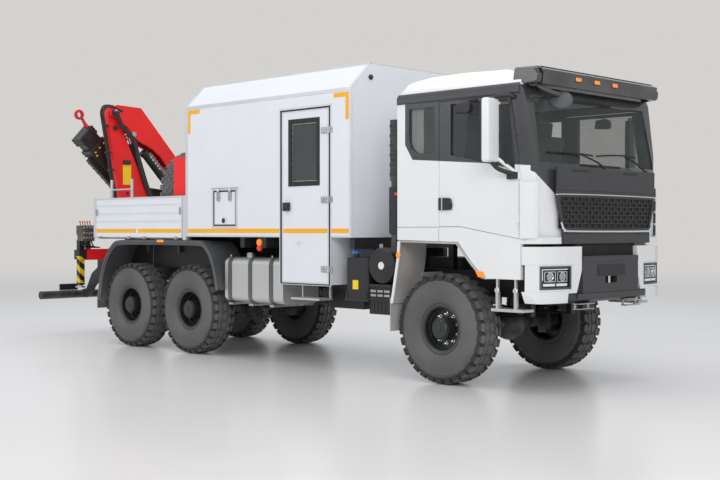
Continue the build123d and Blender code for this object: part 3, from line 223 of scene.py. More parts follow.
DUST = (0.42, 0.39, 0.35)
WHITE = (0.775, 0.80, 0.84)
DARK_GREY = (0.042, 0.043, 0.047)
M = {
    "white": surface("panel_white", WHITE, 0.32, coat=0.25, spread=0.012, bump_scale=7, bump_depth=0.0012,
                     dust_top=0.9),
    "cab": surface("cab_white", (0.80, 0.81, 0.82), 0.26, coat=0.6, spread=0.01, bump_scale=4,
                   bump_depth=0.0006, dust_top=0.9),
    "dark": surface("dark_plastic", DARK_GREY, 0.42, spread=0.08, dust_top=1.0),
    "fender": surface("fender_plastic", (0.085, 0.088, 0.094), 0.5, spread=0.1, dust_top=1.2),
    "liner": surface("arch_liner", (0.42, 0.41, 0.395), 0.62, spread=0.12, dust_top=1.2),
    "black": surface("black_plastic", (0.016, 0.016, 0.018), 0.45, spread=0.12, dust_top=0.8),
    "chassis": surface("chassis_black", (0.014, 0.0145, 0.016), 0.4, spread=0.15, bump_scale=120,
                       dust_top=0.85),
    "red": surface("crane_red", (0.86, 0.010, 0.010), 0.5, spread=0.035),
    "machine": surface("machine_black", (0.022, 0.024, 0.025), 0.38, spread=0.2, bump_scale=140),
    "olive": surface("cast_olive", (0.12, 0.115, 0.085), 0.48, metal=0.35, spread=0.25, bump_scale=160),
    "alloy": surface("brushed_aluminium", (0.60, 0.60, 0.595), 0.36, metal=0.7, spread=0.02,
                     rough_spread=0.015, bump_depth=0),
    "trim": surface("corner_aluminium", (0.66, 0.67, 0.69), 0.38, metal=0.35, spread=0.03),
    "steel": surface("bright_steel", (0.50, 0.50, 0.51), 0.28, metal=0.95, spread=0.1),
    "chrome": surface("chrome_strip", (0.78, 0.79, 0.80), 0.12, metal=1.0, spread=0.02, rough_spread=0.02),
    "seal": surface("rubber_seal", (0.012, 0.012, 0.012), 0.6, spread=0.1),
    "hose": surface("rubber_hose", (0.018, 0.018, 0.018), 0.48, spread=0.2, bump_scale=400),
    "tyre": surface("tyre_rubber", (0.118, 0.115, 0.112), 0.72, spread=0.16, rough_spread=0.07,
                    bump_scale=150, bump_depth=0.0010),
    # Darker rubber for the tread's grooves: painted shade in its recesses.
    "shaded_groove": surface("tyre_shaded_groove", (0.040, 0.039, 0.038), 0.85, spread=0.2, bump_scale=150),
    "stripe": surface("orange_stripe", (0.93, 0.45, 0.003), 0.5, spread=0.03, bump_scale=900),
    "yellow": surface("blank_yellow_label", (0.95, 0.66, 0.01), 0.5, spread=0.04),
    "deck": surface("deck_sheet", (0.34, 0.34, 0.34), 0.5, metal=0.4, spread=0.14, bump_scale=60,
                    bump_depth=0.001),
    "blue": surface("blue_cap", (0.03, 0.22, 0.62), 0.35, spread=0.08),
    "amber": lamp_glow("amber_lens", (0.95, 0.26, 0.01), 0.35),
    "ruby": lamp_glow("red_lens", (0.75, 0.02, 0.015), 0.2),
    "drl": lamp_glow("lamp_white", (0.82, 0.85, 0.88), 0.12),
    "windscreen": clear("windscreen_glass", (0.085, 0.11, 0.10), 0.2),
    "side_glass": clear("side_glass", (0.05, 0.06, 0.06), 0.36),
    "box_glass": clear("box_glass", (0.06, 0.07, 0.072), 0.72),
    "lamp_glass": surface("lamp_glass", (0.30, 0.33, 0.36), 0.06, coat=0.9, spread=0.1, bump_depth=0),
    "mirror": surface("mirror_glass", (0.55, 0.58, 0.60), 0.04, metal=1.0, spread=0.02, rough_spread=0.01,
                      bump_depth=0),
    "inside": surface("cab_lining", (0.30, 0.31, 0.30), 0.7, spread=0.06),
    "seat": surface("seat_fabric", (0.10, 0.10, 0.105), 0.85, spread=0.2, bump_scale=500, bump_depth=0.001),
    "curtain": surface("curtain_cloth", (0.50, 0.51, 0.50), 0.85, spread=0.06, bump_scale=700),
    # The visor's wide colour drift is painted reflection: the light and dark marbling that its gloss shows.
    "visor": surface("visor_gloss", (0.030, 0.0295, 0.0285), 0.2, coat=0.8, spread=0.75, bump_scale=60),
    "two_tone": cab_paint(),
    "hazard": hazard_paint(),
}


# Building pieces. Lengths are in millimetres here and become metres in the mesh.

def own(piece, material, body):
    piece.data.materials.clear()
    piece.data.materials.append(M[material])
    if body:
        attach(piece, body)


def smooth_by_angle(mesh, degrees_limit):
    bm = bmesh.new()
    bm.from_mesh(mesh)
    limit = math.radians(degrees_limit)
    for face in bm.faces:
        face.smooth = True
    for edge in bm.edges:
        edge.smooth = len(edge.link_faces) == 2 and edge.calc_face_angle(0) < limit
    bm.to_mesh(mesh)
    bm.free()


def new_mesh(name, bm):
    mesh = bpy.data.meshes.new(name)
    bm.to_mesh(mesh)
    bm.free()
    return mesh


def metre_mesh(name, bm):
    """Mesh in metres of a form in millimetres, with its faces turned outward."""
    bmesh.ops.scale(bm, vec=(MM, MM, MM), verts=bm.verts)
    bmesh.ops.recalc_face_normals(bm, faces=bm.faces)
    return new_mesh(name, bm)


def new_object(name, data):
    piece = bpy.data.objects.new(name, data)
    bpy.context.scene.collection.objects.link(piece)
    return piece


def round_edges(piece, width, angle):
    """Small rounding on the edges that turn by more than the angle."""
    if width:
        rounding = piece.modifiers.new("rounding", "BEVEL")
        rounding.width = width * MM
        rounding.segments = 2
        rounding.limit_method = "ANGLE"
        rounding.angle_limit = math.radians(angle)
        rounding.harden_normals = True


def make(name, bm, material, body="chassis", bevel=0.0, smooth=35):
    piece = new_object(name, metre_mesh(name, bm))
    smooth_by_angle(piece.data, smooth)
    round_edges(piece, bevel, 40)
    own(piece, material, body)
    return piece


def sided(side, low, high):
    """Span across the truck on one side of it, as a lower and an upper Y."""
    return sorted((side * low, side * high))


def add_box(bm, x0, x1, y0, y1, z0, z1, turn=None):
    made = bmesh.ops.create_cube(bm, size=1)["verts"]
    size = Matrix.Diagonal((abs(x1 - x0), abs(y1 - y0), abs(z1 - z0), 1))
    spot = Matrix.Translation(((x0 + x1) / 2, (y0 + y1) / 2, (z0 + z1) / 2))
    bmesh.ops.transform(bm, matrix=spot @ (turn or Matrix()) @ size, verts=made)
    return made


def boxes(name, spans, material, body="chassis", bevel=2.0):
    bm = bmesh.new()
    for span in spans:
        add_box(bm, *span)
    return make(name, bm, material, body, bevel)


def add_prism(bm, outline, axis, low, high):
    """Outline of two coordinates, thick along the third axis from low to high."""
    def point(pair_, value):
        spot = list(pair_)
        spot.insert("xyz".index(axis), value)
        return spot
    bottom = [bm.verts.new(point(p, low)) for p in outline]
    top = [bm.verts.new(point(p, high)) for p in outline]
    count = len(outline)
    bm.faces.new(bottom)
    bm.faces.new(list(reversed(top)))
    for index in range(count):
        after = (index + 1) % count
        bm.faces.new((bottom[index], top[index], top[after], bottom[after]))


def prism(name, outline, axis, low, high, material, body="chassis", bevel=2.0, smooth=35):
    bm = bmesh.new()
    add_prism(bm, outline, axis, low, high)
    return make(name, bm, material, body, bevel, smooth)


def toward(axis):
    """Turn that lays the Z axis along the given direction."""
    return Vector((0, 0, 1)).rotation_difference(Vector(axis).normalized()).to_matrix().to_4x4()


def add_lathe(bm, profile, centre, axis, steps=32):
    """Profile of (radius, along) revolved about axis through centre."""
    place = Matrix.Translation(centre) @ toward(axis)
    rings = []
    for radius, along in profile:
        if radius == 0:
            rings.append([bm.verts.new(place @ Vector((0, 0, along)))])
            continue
        ring = []
        for index in range(steps):
            turn = 2 * math.pi * index / steps
            spot = Vector((radius * math.cos(turn), radius * math.sin(turn), along))
            ring.append(bm.verts.new(place @ spot))
        rings.append(ring)
    for first, second in zip(rings, rings[1:]):
        for index in range(steps):
            after = (index + 1) % steps
            corners = [first[index % len(first)], first[after % len(first)],
                       second[after % len(second)], second[index % len(second)]]
            unique = list(dict.fromkeys(corners))
            if len(unique) > 2:
                bm.faces.new(unique)


def lathe(name, profile, centre, axis, material, body="chassis", steps=32, smooth=35):
    bm = bmesh.new()
    add_lathe(bm, profile, centre, axis, steps)
    return make(name, bm, material, body, 0, smooth)


def add_disc(bm, centre, axis, radius, depth, steps=24, edge=2.0):
    """Round plate from its back at centre, with a softened front edge."""
    add_lathe(bm, [(0, 0), (radius, 0), (radius, depth - edge), (radius - edge, depth), (0, depth)],
              centre, axis, steps)


def discs(name, places, material, body="chassis", steps=24, edge=2.0):
    """Each place is (centre, axis, radius, depth)."""
    bm = bmesh.new()
    for centre, axis, radius, depth in places:
        add_disc(bm, centre, axis, radius, depth, steps, edge)
    return make(name, bm, material, body)


def smooth_line(points, steps=8):
    """Catmull-Rom line through the points."""
    line = []
    padded = [points[0]] + list(points) + [points[-1]]
    for a, b, c, d in zip(padded, padded[1:], padded[2:], padded[3:]):
        a, b, c, d = Vector(a), Vector(b), Vector(c), Vector(d)
        for index in range(steps):
            t = index / steps
            line.append(0.5 * ((2 * b) + (c - a) * t + (2 * a - 5 * b + 4 * c - d) * t * t
                               + (3 * b - a - 3 * c + d) * t ** 3))
    line.append(Vector(points[-1]))
    return line


def add_tube(bm, line, radius, sides=10):
    rings = []
    frame_x = None
    for index, spot in enumerate(line):
        ahead = line[min(index + 1, len(line) - 1)] - line[max(index - 1, 0)]
        ahead.normalize()
        if frame_x is None:
            frame_x = ahead.orthogonal().normalized()
        frame_x = (frame_x - ahead * frame_x.dot(ahead)).normalized()
        frame_y = ahead.cross(frame_x)
        rings.append([bm.verts.new(spot + radius * (math.cos(a) * frame_x + math.sin(a) * frame_y))
                      for a in (2 * math.pi * k / sides for k in range(sides))])
    for first, second in zip(rings, rings[1:]):
        for index in range(sides):
            after = (index + 1) % sides
            bm.faces.new((first[index], first[after], second[after], second[index]))
    bm.faces.new(list(reversed(rings[0])))
    bm.faces.new(rings[-1])


def pipes(name, routes, radius, material, body="chassis", curved=True, sides=10):
    bm = bmesh.new()
    for route in routes:
        line = smooth_line(route) if curved else [Vector(p) for p in route]
        add_tube(bm, line, radius, sides)
    return make(name, bm, material, body, 0, 50)


def dressed(node, material, bevel, smooth):
    """The node's own shape with softened edges and smooth shading."""
    source = NODES[node]
    bm = bmesh.new()
    bm.from_mesh(source.data)
    bmesh.ops.remove_doubles(bm, verts=bm.verts, dist=0.00004)
    bmesh.ops.dissolve_limit(bm, angle_limit=math.radians(0.6), verts=bm.verts, edges=bm.edges)
    mesh = new_mesh(f"{node}_skin", bm)
    if "custom_normal" in mesh.attributes:
        mesh.attributes.remove(mesh.attributes["custom_normal"])
    piece = new_object(mesh.name, mesh)
    smooth_by_angle(mesh, smooth)
    round_edges(piece, bevel, smooth)
    own(piece, material, source["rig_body"])
    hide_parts(node)


def paint(node, material):
    source = NODES[node]
    source.data.materials.clear()
    source.data.materials.append(M[material])


# Camera, floor and light

BACKDROP = (0.66, 0.645, 0.625)
FLOOR = (0.80, 0.79, 0.785)
CAMERA_SPOT = (11.911, -10.927, 1.724)
CAMERA_AZIMUTH, CAMERA_PITCH = math.radians(44.6), math.radians(-0.47)
LENS_LENGTH = 57.35


def aim(piece, spot, ahead):
    piece.location = spot
    piece.rotation_mode = "QUATERNION"
    piece.rotation_quaternion = ahead.to_track_quat("-Z", "Y")


def camera():
    data = bpy.data.cameras.new("camera")
    data.lens = LENS_LENGTH
    data.sensor_width = 36
    data.clip_end = 500
    cam = new_object("camera", data)
    level = math.cos(CAMERA_PITCH)
    aim(cam, CAMERA_SPOT, Vector((-math.sin(CAMERA_AZIMUTH) * level, math.cos(CAMERA_AZIMUTH) * level,
                                  math.sin(CAMERA_PITCH))))
    bpy.context.scene.camera = cam


def floor():
    """Pale glossy floor that fades into the backdrop far from the truck."""
    bm = bmesh.new()
    bmesh.ops.create_circle(bm, cap_ends=True, segments=96, radius=120)
    piece = new_object("floor", new_mesh("floor", bm))
    piece.location.z = -0.001
    look = Look("floor_sheet")
    cloudy = look.mix(look.clouds(0.3, 3), shade(FLOOR, 0.985), shade(FLOOR, 1.015))
    look.link(cloudy, look.base["Base Color"])
    look.base["Roughness"].default_value = 0.24
    look.base["Specular IOR Level"].default_value = 0.42
    glow = look.node("Emission")
    glow.inputs["Color"].default_value = (*BACKDROP, 1)
    length = look.node("VectorMath")
    length.operation = "LENGTH"
    look.link(look.node("TexCoord").outputs["Object"], length.inputs[0])
    mix = look.node("MixShader")
    look.link(look.remap(length.outputs["Value"], 9, 42, 0, 1), mix.inputs["Fac"])
    look.link(look.nodes["Principled BSDF"].outputs["BSDF"], mix.inputs[1])
    look.link(glow.outputs["Emission"], mix.inputs[2])
    look.link(mix.outputs["Shader"], look.nodes["Material Output"].inputs["Surface"])
    piece.data.materials.append(look.material)


def area_light(name, spot, target, size, power, colour=(1, 1, 1)):
    data = bpy.data.lights.new(name, "AREA")
    data.shape = "RECTANGLE"
    data.size, data.size_y = size
    data.energy = power
    data.color = colour
    aim(new_object(name, data), spot, Vector(target) - Vector(spot))


def world():
    scene_world = bpy.data.worlds.new("studio")
    bpy.context.scene.world = scene_world
    scene_world.use_nodes = True
    nodes, links = scene_world.node_tree.nodes, scene_world.node_tree.links
    soft = nodes["Background"]
    soft.inputs["Color"].default_value = (0.95, 0.97, 1.0, 1)
    soft.inputs["Strength"].default_value = 0.62
    shown = nodes.new("ShaderNodeBackground")
    shown.inputs["Color"].default_value = (*BACKDROP, 1)
    rays = nodes.new("ShaderNodeLightPath")
    either = nodes.new("ShaderNodeMath")
    either.operation = "MAXIMUM"
    links.new(rays.outputs["Is Camera Ray"], either.inputs[0])
    links.new(rays.outputs["Is Transmission Ray"], either.inputs[1])
    mix = nodes.new("ShaderNodeMixShader")
    links.new(either.outputs["Value"], mix.inputs["Fac"])
    links.new(soft.outputs["Background"], mix.inputs[1])
    links.new(shown.outputs["Background"], mix.inputs[2])
    links.new(mix.outputs["Shader"], nodes["World Output"].inputs["Surface"])
    bpy.context.scene.view_settings.view_transform = "Standard"


# Wheels

WHEEL_X = {"front": 3530, "middle": -1102, "rear": -2547}
WHEEL_Y = 995
TYRE_RADIUS = 620
TYRE_STEPS = 120
SIDEWALL = [(258, 120), (268, 148), (292, 150), (300, 158), (360, 178), (430, 187.2), (470, 187.2),
            (500, 184), (504, 186), (512, 186), (516, 182), (548, 172), (572, 158), (590, 140), (598, 100)]
TREAD_PITCHES = 30
TREAD_TOP = TYRE_RADIUS - 0.3
TREAD_BASE, SHOULDER_BASE = 586, 560
SHOULDER_BLOCK = [(176, 0.10), (176, 0.72), (138, 0.80), (122, 0.66), (116, 0.40), (122, 0.12), (138, 0.02)]
SECOND_BLOCK = [(112, 0.40), (104, 0.72), (84, 0.86), (56, 0.80), (48, 0.54), (58, 0.20), (82, 0.08),
                (106, 0.16)]
CENTRE_BLOCK = [(40, 0.32), (30, 0.70), (4, 0.86), (-30, 0.76), (-42, 0.46), (-32, 0.10), (-4, -0.04),
                (30, 0.04)]
BLOCK_TAPER = 0.05
# Faces whose middles lie between these radii take the darker groove rubber, which is painted shade.
SHADED_GROOVE_LOW, SHADED_GROOVE_HIGH = 548, 597
NUT = [(0, 0), (21, 0), (21, 6), (15, 8), (15, 30), (10, 36), (0, 38)]
RIM_BOLTS = 10
NUT_CIRCLE, HUB_CIRCLE = 167, 84


def around(index, count):
    return 2 * math.pi * index / count


def add_tread_block(bm, block, start, side, low):
    """Block of (across, pitches) corners that stands on the tyre's radius low and narrows outward."""
    outline = [(side * y, around(start + share, TREAD_PITCHES)) for y, share in block]
    count = len(outline)
    middle_y = sum(y for y, turn in outline) / count
    middle_turn = sum(turn for y, turn in outline) / count
    rings = []
    for radius, shrink in ((low, 0), (TREAD_TOP, BLOCK_TAPER)):
        ring = []
        for y, turn in outline:
            y += (middle_y - y) * shrink
            turn += (middle_turn - turn) * shrink
            reach = radius - max(0.0, abs(y) - 120) ** 2 / 190
            ring.append(bm.verts.new((reach * math.cos(turn), y, reach * math.sin(turn))))
        rings.append(ring)
    base, top = rings
    bm.faces.new(top)
    for index in range(count):
        after = (index + 1) % count
        bm.faces.new((base[index], base[after], top[after], top[index]))


def tyre_mesh():
    """Off-road tyre about the Y axis: sidewall with fine rings, and five rows of interlocking blocks."""
    bm = bmesh.new()
    rings = []
    spots = [(math.cos(around(k, TYRE_STEPS)), math.sin(around(k, TYRE_STEPS))) for k in range(TYRE_STEPS)]
    for radius, y in SIDEWALL + [(radius, -y) for radius, y in reversed(SIDEWALL)]:
        rings.append([bm.verts.new((radius * x, y, radius * z)) for x, z in spots])
    for first, second in zip(rings, rings[1:]):
        for k in range(TYRE_STEPS):
            after = (k + 1) % TYRE_STEPS
            bm.faces.new((first[k], first[after], second[after], second[k]))
    for index in range(TREAD_PITCHES):
        for side, start in ((-1, index), (1, index + 0.5)):
            add_tread_block(bm, SHOULDER_BLOCK, start, side, SHOULDER_BASE)
            add_tread_block(bm, SECOND_BLOCK, start, side, TREAD_BASE)
        add_tread_block(bm, CENTRE_BLOCK, index, 1, TREAD_BASE)
    # Faces low between and beside the blocks are painted darker: painted shade in the grooves.
    for face in bm.faces:
        middle = face.calc_center_median()
        if SHADED_GROOVE_LOW < math.hypot(middle.x, middle.z) < SHADED_GROOVE_HIGH:
            face.material_index = 1
    mesh = metre_mesh("tyre_tread", bm)
    smooth_by_angle(mesh, 30)
    return mesh


def wheel_trim(name, middle, side, steered):
    """Rings, nuts and hub on a rim. Distances run outward from the wheel's middle plane."""
    axis = (0, side, 0)

    def out(distance, radius=0, turn=0.0):
        x, y, z = middle
        return x + radius * math.cos(turn), y + side * distance, z + radius * math.sin(turn)

    bm = bmesh.new()
    for radius, distance, height in ((288, 146, 8), (236, 60 if steered else 20, 9)):
        add_lathe(bm, [(radius - 10, 0), (radius, 0), (radius + 1, height * 0.6), (radius - 4, height),
                       (radius - 9, height * 0.6), (radius - 10, 0)], out(distance), axis, 64)
    make(f"{name}_rings", bm, "machine", name)
    bm = bmesh.new()
    face = 34 if steered else -38
    for index in range(RIM_BOLTS):
        add_lathe(bm, NUT, out(face, NUT_CIRCLE, around(index + 0.5, RIM_BOLTS)), axis, 12)
    make(f"{name}_nuts", bm, "chrome" if steered else "machine", name, 0, 30)
    bm = bmesh.new()
    for index in range(RIM_BOLTS):
        add_disc(bm, out(168, HUB_CIRCLE, around(index, RIM_BOLTS)), axis, 8, 9, 10, 1.5)
    add_lathe(bm, [(0, 0), (34, 0), (34, 3), (28, 7), (0, 8)], out(178), axis, 24)
    add_lathe(bm, [(118, -30), (124, -30), (124, 2), (104, 6), (104, -10), (118, -12)], out(150), axis, 40)
    make(f"{name}_hub_bolts", bm, "machine", name)


def wheels():
    shared = tyre_mesh()
    for kind in ("tyre", "shaded_groove"):
        shared.materials.append(M[kind])
    for place, x in WHEEL_X.items():
        for hand, side in SIDES.items():
            middle = (x, side * WHEEL_Y, TYRE_RADIUS)
            piece = new_object(f"tyre_{place}_{hand}_tread", shared)
            piece.location = Vector(middle) * MM
            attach(piece, f"wheel_{place}_{hand}")
            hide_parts(f"tyre_{place}_{hand}")
            paint(f"rim_{place}_{hand}", "machine")
            wheel_trim(f"wheel_{place}_{hand}", middle, side, place == "front")


# Nodes that keep their own shape: those with softened edges, and those that are only painted

DRESSED = {
    "cab_shell": ("two_tone", 4, 40), "cab_door_right": ("two_tone", 3, 40),
    "cab_door_left": ("two_tone", 3, 40), "bumper_corners": ("cab", 8, 40), "cab_trim": ("visor", 10, 30),
    "cab_guards": ("liner", 2, 45),
    "box_shell": ("white", 4, 30), "box_door": ("white", 3, 30), "box_hatch": ("white", 2, 30),
    "porch": ("white", 3, 30), "fuel_tank": ("alloy", 3, 40), "side_gear": ("black", 5, 40),
    "oil_tank": ("red", 4, 40), "mast": ("red", 5, 35), "inner_boom": ("red", 4, 40),
    "outer_boom": ("machine", 5, 35), "extension": ("machine", 4, 35),
}
PAINTED = {
    "chassis": ("frame", "axles", "springs", "knuckle_right", "knuckle_left"),
    "machine": ("driveline", "lift_barrel"),
    "windscreen": ("cab_glass",),
    "side_glass": ("cab_door_glass_right", "cab_door_glass_left"),
    "box_glass": ("box_window",),
    "trim": ("box_trims",),
    "deck": ("platform",),
    "fender": ("tank_straps",),
    "tyre": ("spare_wheel",),
    "alloy": ("steps",),
    "red": ("crane_base",),
    "olive": ("valve_block",),
    "chrome": ("lift_rod",),
    "hazard": ("stabiliser_beam_right", "stabiliser_beam_left"),
    "steel": ("stabiliser_leg_right", "stabiliser_leg_left"),
    "white": ("dropside_right", "dropside_left"),
}


# Box body and platform details

SIDE_FACE = 1250
STRIPE_Z = (1693, 1749)
STRIPE_Y = (-1251.6, -SIDE_FACE)
CORNER_Z = (3058, 3332, 3388)
DOOR_X = (971, 1840)
DOOR_PANE = (1160, 1616, 2338, 3060)
DOOR_HINGE_Z = (1250, 2100, 2950)
HATCH = (-418, 61, 1786, 2262)
DROPSIDE_X = (-3320, -1118)
DROPSIDE_Z = (1622, 2214)


def mirrored(spans):
    """The spans and their copies on the truck's other side."""
    return spans + [(x0, x1, -y1, -y0, z0, z1) for x0, x1, y0, y1, z0, z1 in spans]


def frame_spans(outer, inner, y0, y1):
    """Four bars between two rectangles of (x0, x1, z0, z1)."""
    ox0, ox1, oz0, oz1 = outer
    ix0, ix1, iz0, iz1 = inner
    return [(ox0, ix0, y0, y1, oz0, oz1), (ix1, ox1, y0, y1, oz0, oz1),
            (ix0, ix1, y0, y1, oz0, iz0), (ix0, ix1, y0, y1, iz1, oz1)]


def grown(rectangle, margin):
    x0, x1, z0, z1 = rectangle
    return x0 - margin, x1 + margin, z0 - margin, z1 + margin


def flat_ring(name, outer, inner, lift, depth, material, body, bevel=1.0):
    """Rectangular frame that stands off the right side of the box."""
    boxes(name, frame_spans(outer, inner, -lift - depth, -lift), material, body, bevel)


def stripes():
    marks = []
    for x0, x1, post0, post1 in ((-985, -725, -985, -929), (1920, 2180, 2124, 2180)):
        marks.append((x0, x1, *STRIPE_Y, CORNER_Z[1], CORNER_Z[2]))
        marks.append((post0, post1, *STRIPE_Y, CORNER_Z[0], CORNER_Z[1]))
    runs = [(-1030, DOOR_X[0] - 34, *STRIPE_Y, *STRIPE_Z), (DOOR_X[1] + 34, 2180, *STRIPE_Y, *STRIPE_Z)]
    left = (-1030, 2180, -STRIPE_Y[1], -STRIPE_Y[0], *STRIPE_Z)
    boxes("box_stripes", runs + mirrored(marks) + [left], "stripe", bevel=0)
    boxes("door_stripe", [(DOOR_X[0] + 30, DOOR_X[1] - 30, *STRIPE_Y, *STRIPE_Z)], "stripe", "box_door", 0)


def door_details():
    x0, x1 = DOOR_X
    edge = (x0 - 24, x1 + 24, 1052, 3254)
    flat_ring("door_seal", edge, (x0 + 2, x1 - 2, 1066, 3226), SIDE_FACE, 3, "seal", "chassis")
    flat_ring("door_frame_edge", (x0 - 38, x1 + 38, 1044, 3268), edge, SIDE_FACE, 5, "trim", "chassis")
    leaf = (x0 + 8, x1 - 8, 1068, 3222)
    flat_ring("door_leaf_edge", leaf, grown(leaf, -18), SIDE_FACE, 1.5, "trim", "box_door")
    flat_ring("door_window_frame", grown(DOOR_PANE, 60), DOOR_PANE, 1249, 7, "seal", "box_door", 3)
    wx0, wx1, wz0, wz1 = DOOR_PANE
    depth = (-1246, -1232)
    boxes("door_window_bead", [(wx0, wx1, *depth, wz0, wz0 + 8), (wx0, wx1, *depth, wz1 - 8, wz1),
                               (wx0, wx0 + 8, *depth, wz0, wz1), (wx1 - 8, wx1, *depth, wz0, wz1)],
          "steel", "box_door", 1)
    boxes("door_lock", [(1028, 1136, -1293, -SIDE_FACE, 1972, 2078)], "black", "box_door", 8)
    boxes("door_lock_paddle", [(1046, 1118, -1299, -1291, 2006, 2062),
                               (1058, 1078, -1301, -1291, 1984, 1998)], "machine", "box_door", 3)
    straps = [(1706, 1838, -1263, -1249.5, z - 38, z + 38) for z in DOOR_HINGE_Z]
    fixed = [(1853, 1902, -1258, -SIDE_FACE, z - 34, z + 34) for z in DOOR_HINGE_Z]
    barrels = [((1849, -1261.3, z + low), (0, 0, 1), 13.5, 25)
               for z in DOOR_HINGE_Z for low in (-40, -12, 16)]
    bolts = [((x, -1263, z + dz), (0, -1, 0), 8, 4)
             for z in DOOR_HINGE_Z for x in (1728, 1790) for dz in (-18, 18)]
    boxes("door_hinge_straps", straps, "steel", "box_door", 3)
    boxes("door_hinge_fixed", fixed, "steel", bevel=3)
    discs("door_hinge_barrels", barrels, "steel", "box_door", 16, 2)
    discs("door_hinge_bolts", bolts, "chrome", "box_door", 10, 1)


def hatch_details():
    x0, x1, z0, z1 = HATCH
    middle = (x0 + x1) / 2
    flat_ring("hatch_seal", grown(HATCH, -1), grown(HATCH, -20), SIDE_FACE, 2, "seal", "box_hatch")
    straps = [(x - 24, x + 24, -1276, -SIDE_FACE, z1 - 140, z1 - 8) for x in (x0 + 116, x1 - 116)]
    boxes("hatch_straps", straps, "steel", "box_hatch", 3)
    discs("hatch_lock", [((middle, -1272, z0 + 72), (0, -1, 0), 34, 6),
                         ((middle, -1278, z0 + 72), (0, -1, 0), 22, 5)], "machine", "box_hatch")
    boxes("hatch_rain_rail", [(x0 - 46, x1 + 46, -1272, -SIDE_FACE, z1 + 30, z1 + 40)], "trim", bevel=2)


def box_edges():
    corners = []
    for side in (-1, 1):
        span = sided(side, SIDE_FACE, 1255.5)
        for x0, x1 in ((-1040, -1000), (2196, 2236)):
            corners.append((x0, x1, *span, 1639, 3440))
        corners.append((-1000, 2196, *span, 3402, 3444))
    for side, x0, x1 in ((-1, -1000, 940), (-1, 1880, 2196), (1, -1000, 2196)):
        corners.append((x0, x1, *sided(side, SIDE_FACE, 1253), 1639, 1660))
    boxes("box_edge_profiles", corners, "trim", bevel=2)
    roof = [[(-1040, side * 938, 3745), (2236, side * 938, 3745)] for side in (-1, 1)]
    pipes("roof_edge_beads", roof, 9, "trim", curved=False)
    lathe("front_wall_vent", [(0, 0), (34, 0), (34, 10), (26, 26), (10, 34), (0, 35)], (2236, -935, 3584),
          (1, -0.15, -0.4), "machine")
    rivets = [((x, side * 1255, z), (0, side, 0), 5, 2)
              for z in range(1700, 3400, 150) for x in (-1020, 2216) for side in (-1, 1)]
    discs("profile_rivets", rivets, "trim", steps=8, edge=0.8)


def platform_details():
    boxes("platform_edge", [(-3376, -3326, -1252, 1252, 1618, 1704)], "white", bevel=3)
    posts = []
    for side in (-1, 1):
        span = sided(side, 1188, 1252.5)
        posts += [(-1114, -1040, *span, 1592, 2214), (-3378, -3324, *span, 1620, 2214)]
    boxes("platform_posts", posts, "trim", bevel=4)
    for hand, side in SIDES.items():
        dropside_details(hand, side, f"dropside_{hand}")


def dropside_details(hand, side, body):
    (x0, x1), (z0, z1) = DROPSIDE_X, DROPSIDE_Z
    middle = (x0 + x1) / 2
    face = sided(side, SIDE_FACE, 1252)
    boxes(f"dropside_stripe_{hand}", [(x0 + 30, middle - 26, *face, *STRIPE_Z),
                                      (middle + 26, x1 - 28, *face, *STRIPE_Z)], "stripe", body, 0)
    rim = sided(side, 1247, 1258)
    boxes(f"dropside_rim_{hand}", [(x0, x1, *rim, z1 - 22, z1), (x0, x1, *rim, z0, z0 + 12),
                                   (x0, x0 + 20, *rim, z0 + 12, z1 - 22),
                                   (x1 - 20, x1, *rim, z0 + 12, z1 - 22)], "trim", body, 2.5)
    catches = [(x - 26, x + 26, *sided(side, SIDE_FACE, 1266), 1950, 2050) for x in (x0 + 40, x1 - 40)]
    boxes(f"dropside_catches_{hand}", catches, "steel", body, 4)
    heights = [z0 + 104 + 117.6 * index for index in range(1, 5)]
    ribs = [(x0 + 20, x1 - 20, *sided(side, 1249, 1253), z - 5, z + 1) for z in heights]
    boxes(f"dropside_ribs_{hand}", ribs, "white", body, 1.5)


# Tanks and side gear

TANK_STRAP_X = (-190, 230, 650)
CLEANER = (2649, 1312)
AXLE_X = (-1102, -2547)


def tank_details():
    boxes("tank_feet", [(x - 42, x + 42, -1140, -432, 728, 757) for x in TANK_STRAP_X], "steel", bevel=4)
    cap = [((20, -960, 1399), (0, 0, 1), 62, 18), ((20, -960, 1417), (0, 0, 1), 50, 12)]
    discs("tank_cap", cap, "steel")
    bolts = [((x, -1128, 1374), (0, 0, 1), 12, 26) for x in TANK_STRAP_X]
    discs("strap_bolts", bolts, "chrome", steps=8)
    hoses = [[(x, -560, 1380), (x + 30, -620, 1480), (x + 90, -700, 1560), (x + 120, -740, 1636)]
             for x in (-260, 130, 560, 900)]
    pipes("tank_hoses", hoses, 10, "hose")
    discs("side_lamp_amber", [((470, -1178, 1570), (0, -1, 0), 46, 34)], "amber", steps=20, edge=8)
    discs("side_lamp_red", [((470, -1178, 1498), (0, -1, 0), 40, 36)], "ruby", steps=20, edge=8)
    boxes("side_lamp_stem", [(446, 494, -1178, -1150, 1450, 1639)], "black", bevel=4)
    boxes("additive_label", [(2168, 2262, -1173, -1170, 1020, 1130)], "yellow", bevel=1)
    discs("additive_cap", [((2120, -1060, 1446), (0, 0, 1), 52, 40)], "blue", steps=20, edge=9)
    boxes("additive_cradle", [(2036, 2432, -1178, -640, 880, 905), (2060, 2084, -1180, -1168, 905, 1000),
                              (2380, 2404, -1180, -1168, 905, 1000)], "machine", bevel=4)


def cleaner_details():
    x, z = CLEANER
    bm = bmesh.new()
    for radius, y in ((214, -1120), (214, -980), (214, -840), (205, -1160)):
        rib = [(radius - 10, -12), (radius, -8), (radius, 8), (radius - 10, 12)]
        add_lathe(bm, rib, (x, y, z), (0, -1, 0), 40)
    for radius in (60, 110, 160):
        add_lathe(bm, [(radius, 0), (radius + 8, 7), (radius + 16, 0)], (x, -1178, z), (0, -1, 0), 40)
    make("cleaner_ribs", bm, "black")
    discs("cleaner_disc", [((x, -1180, z), (0, -1, 0), 46, 8)], "cab", steps=24, edge=3)


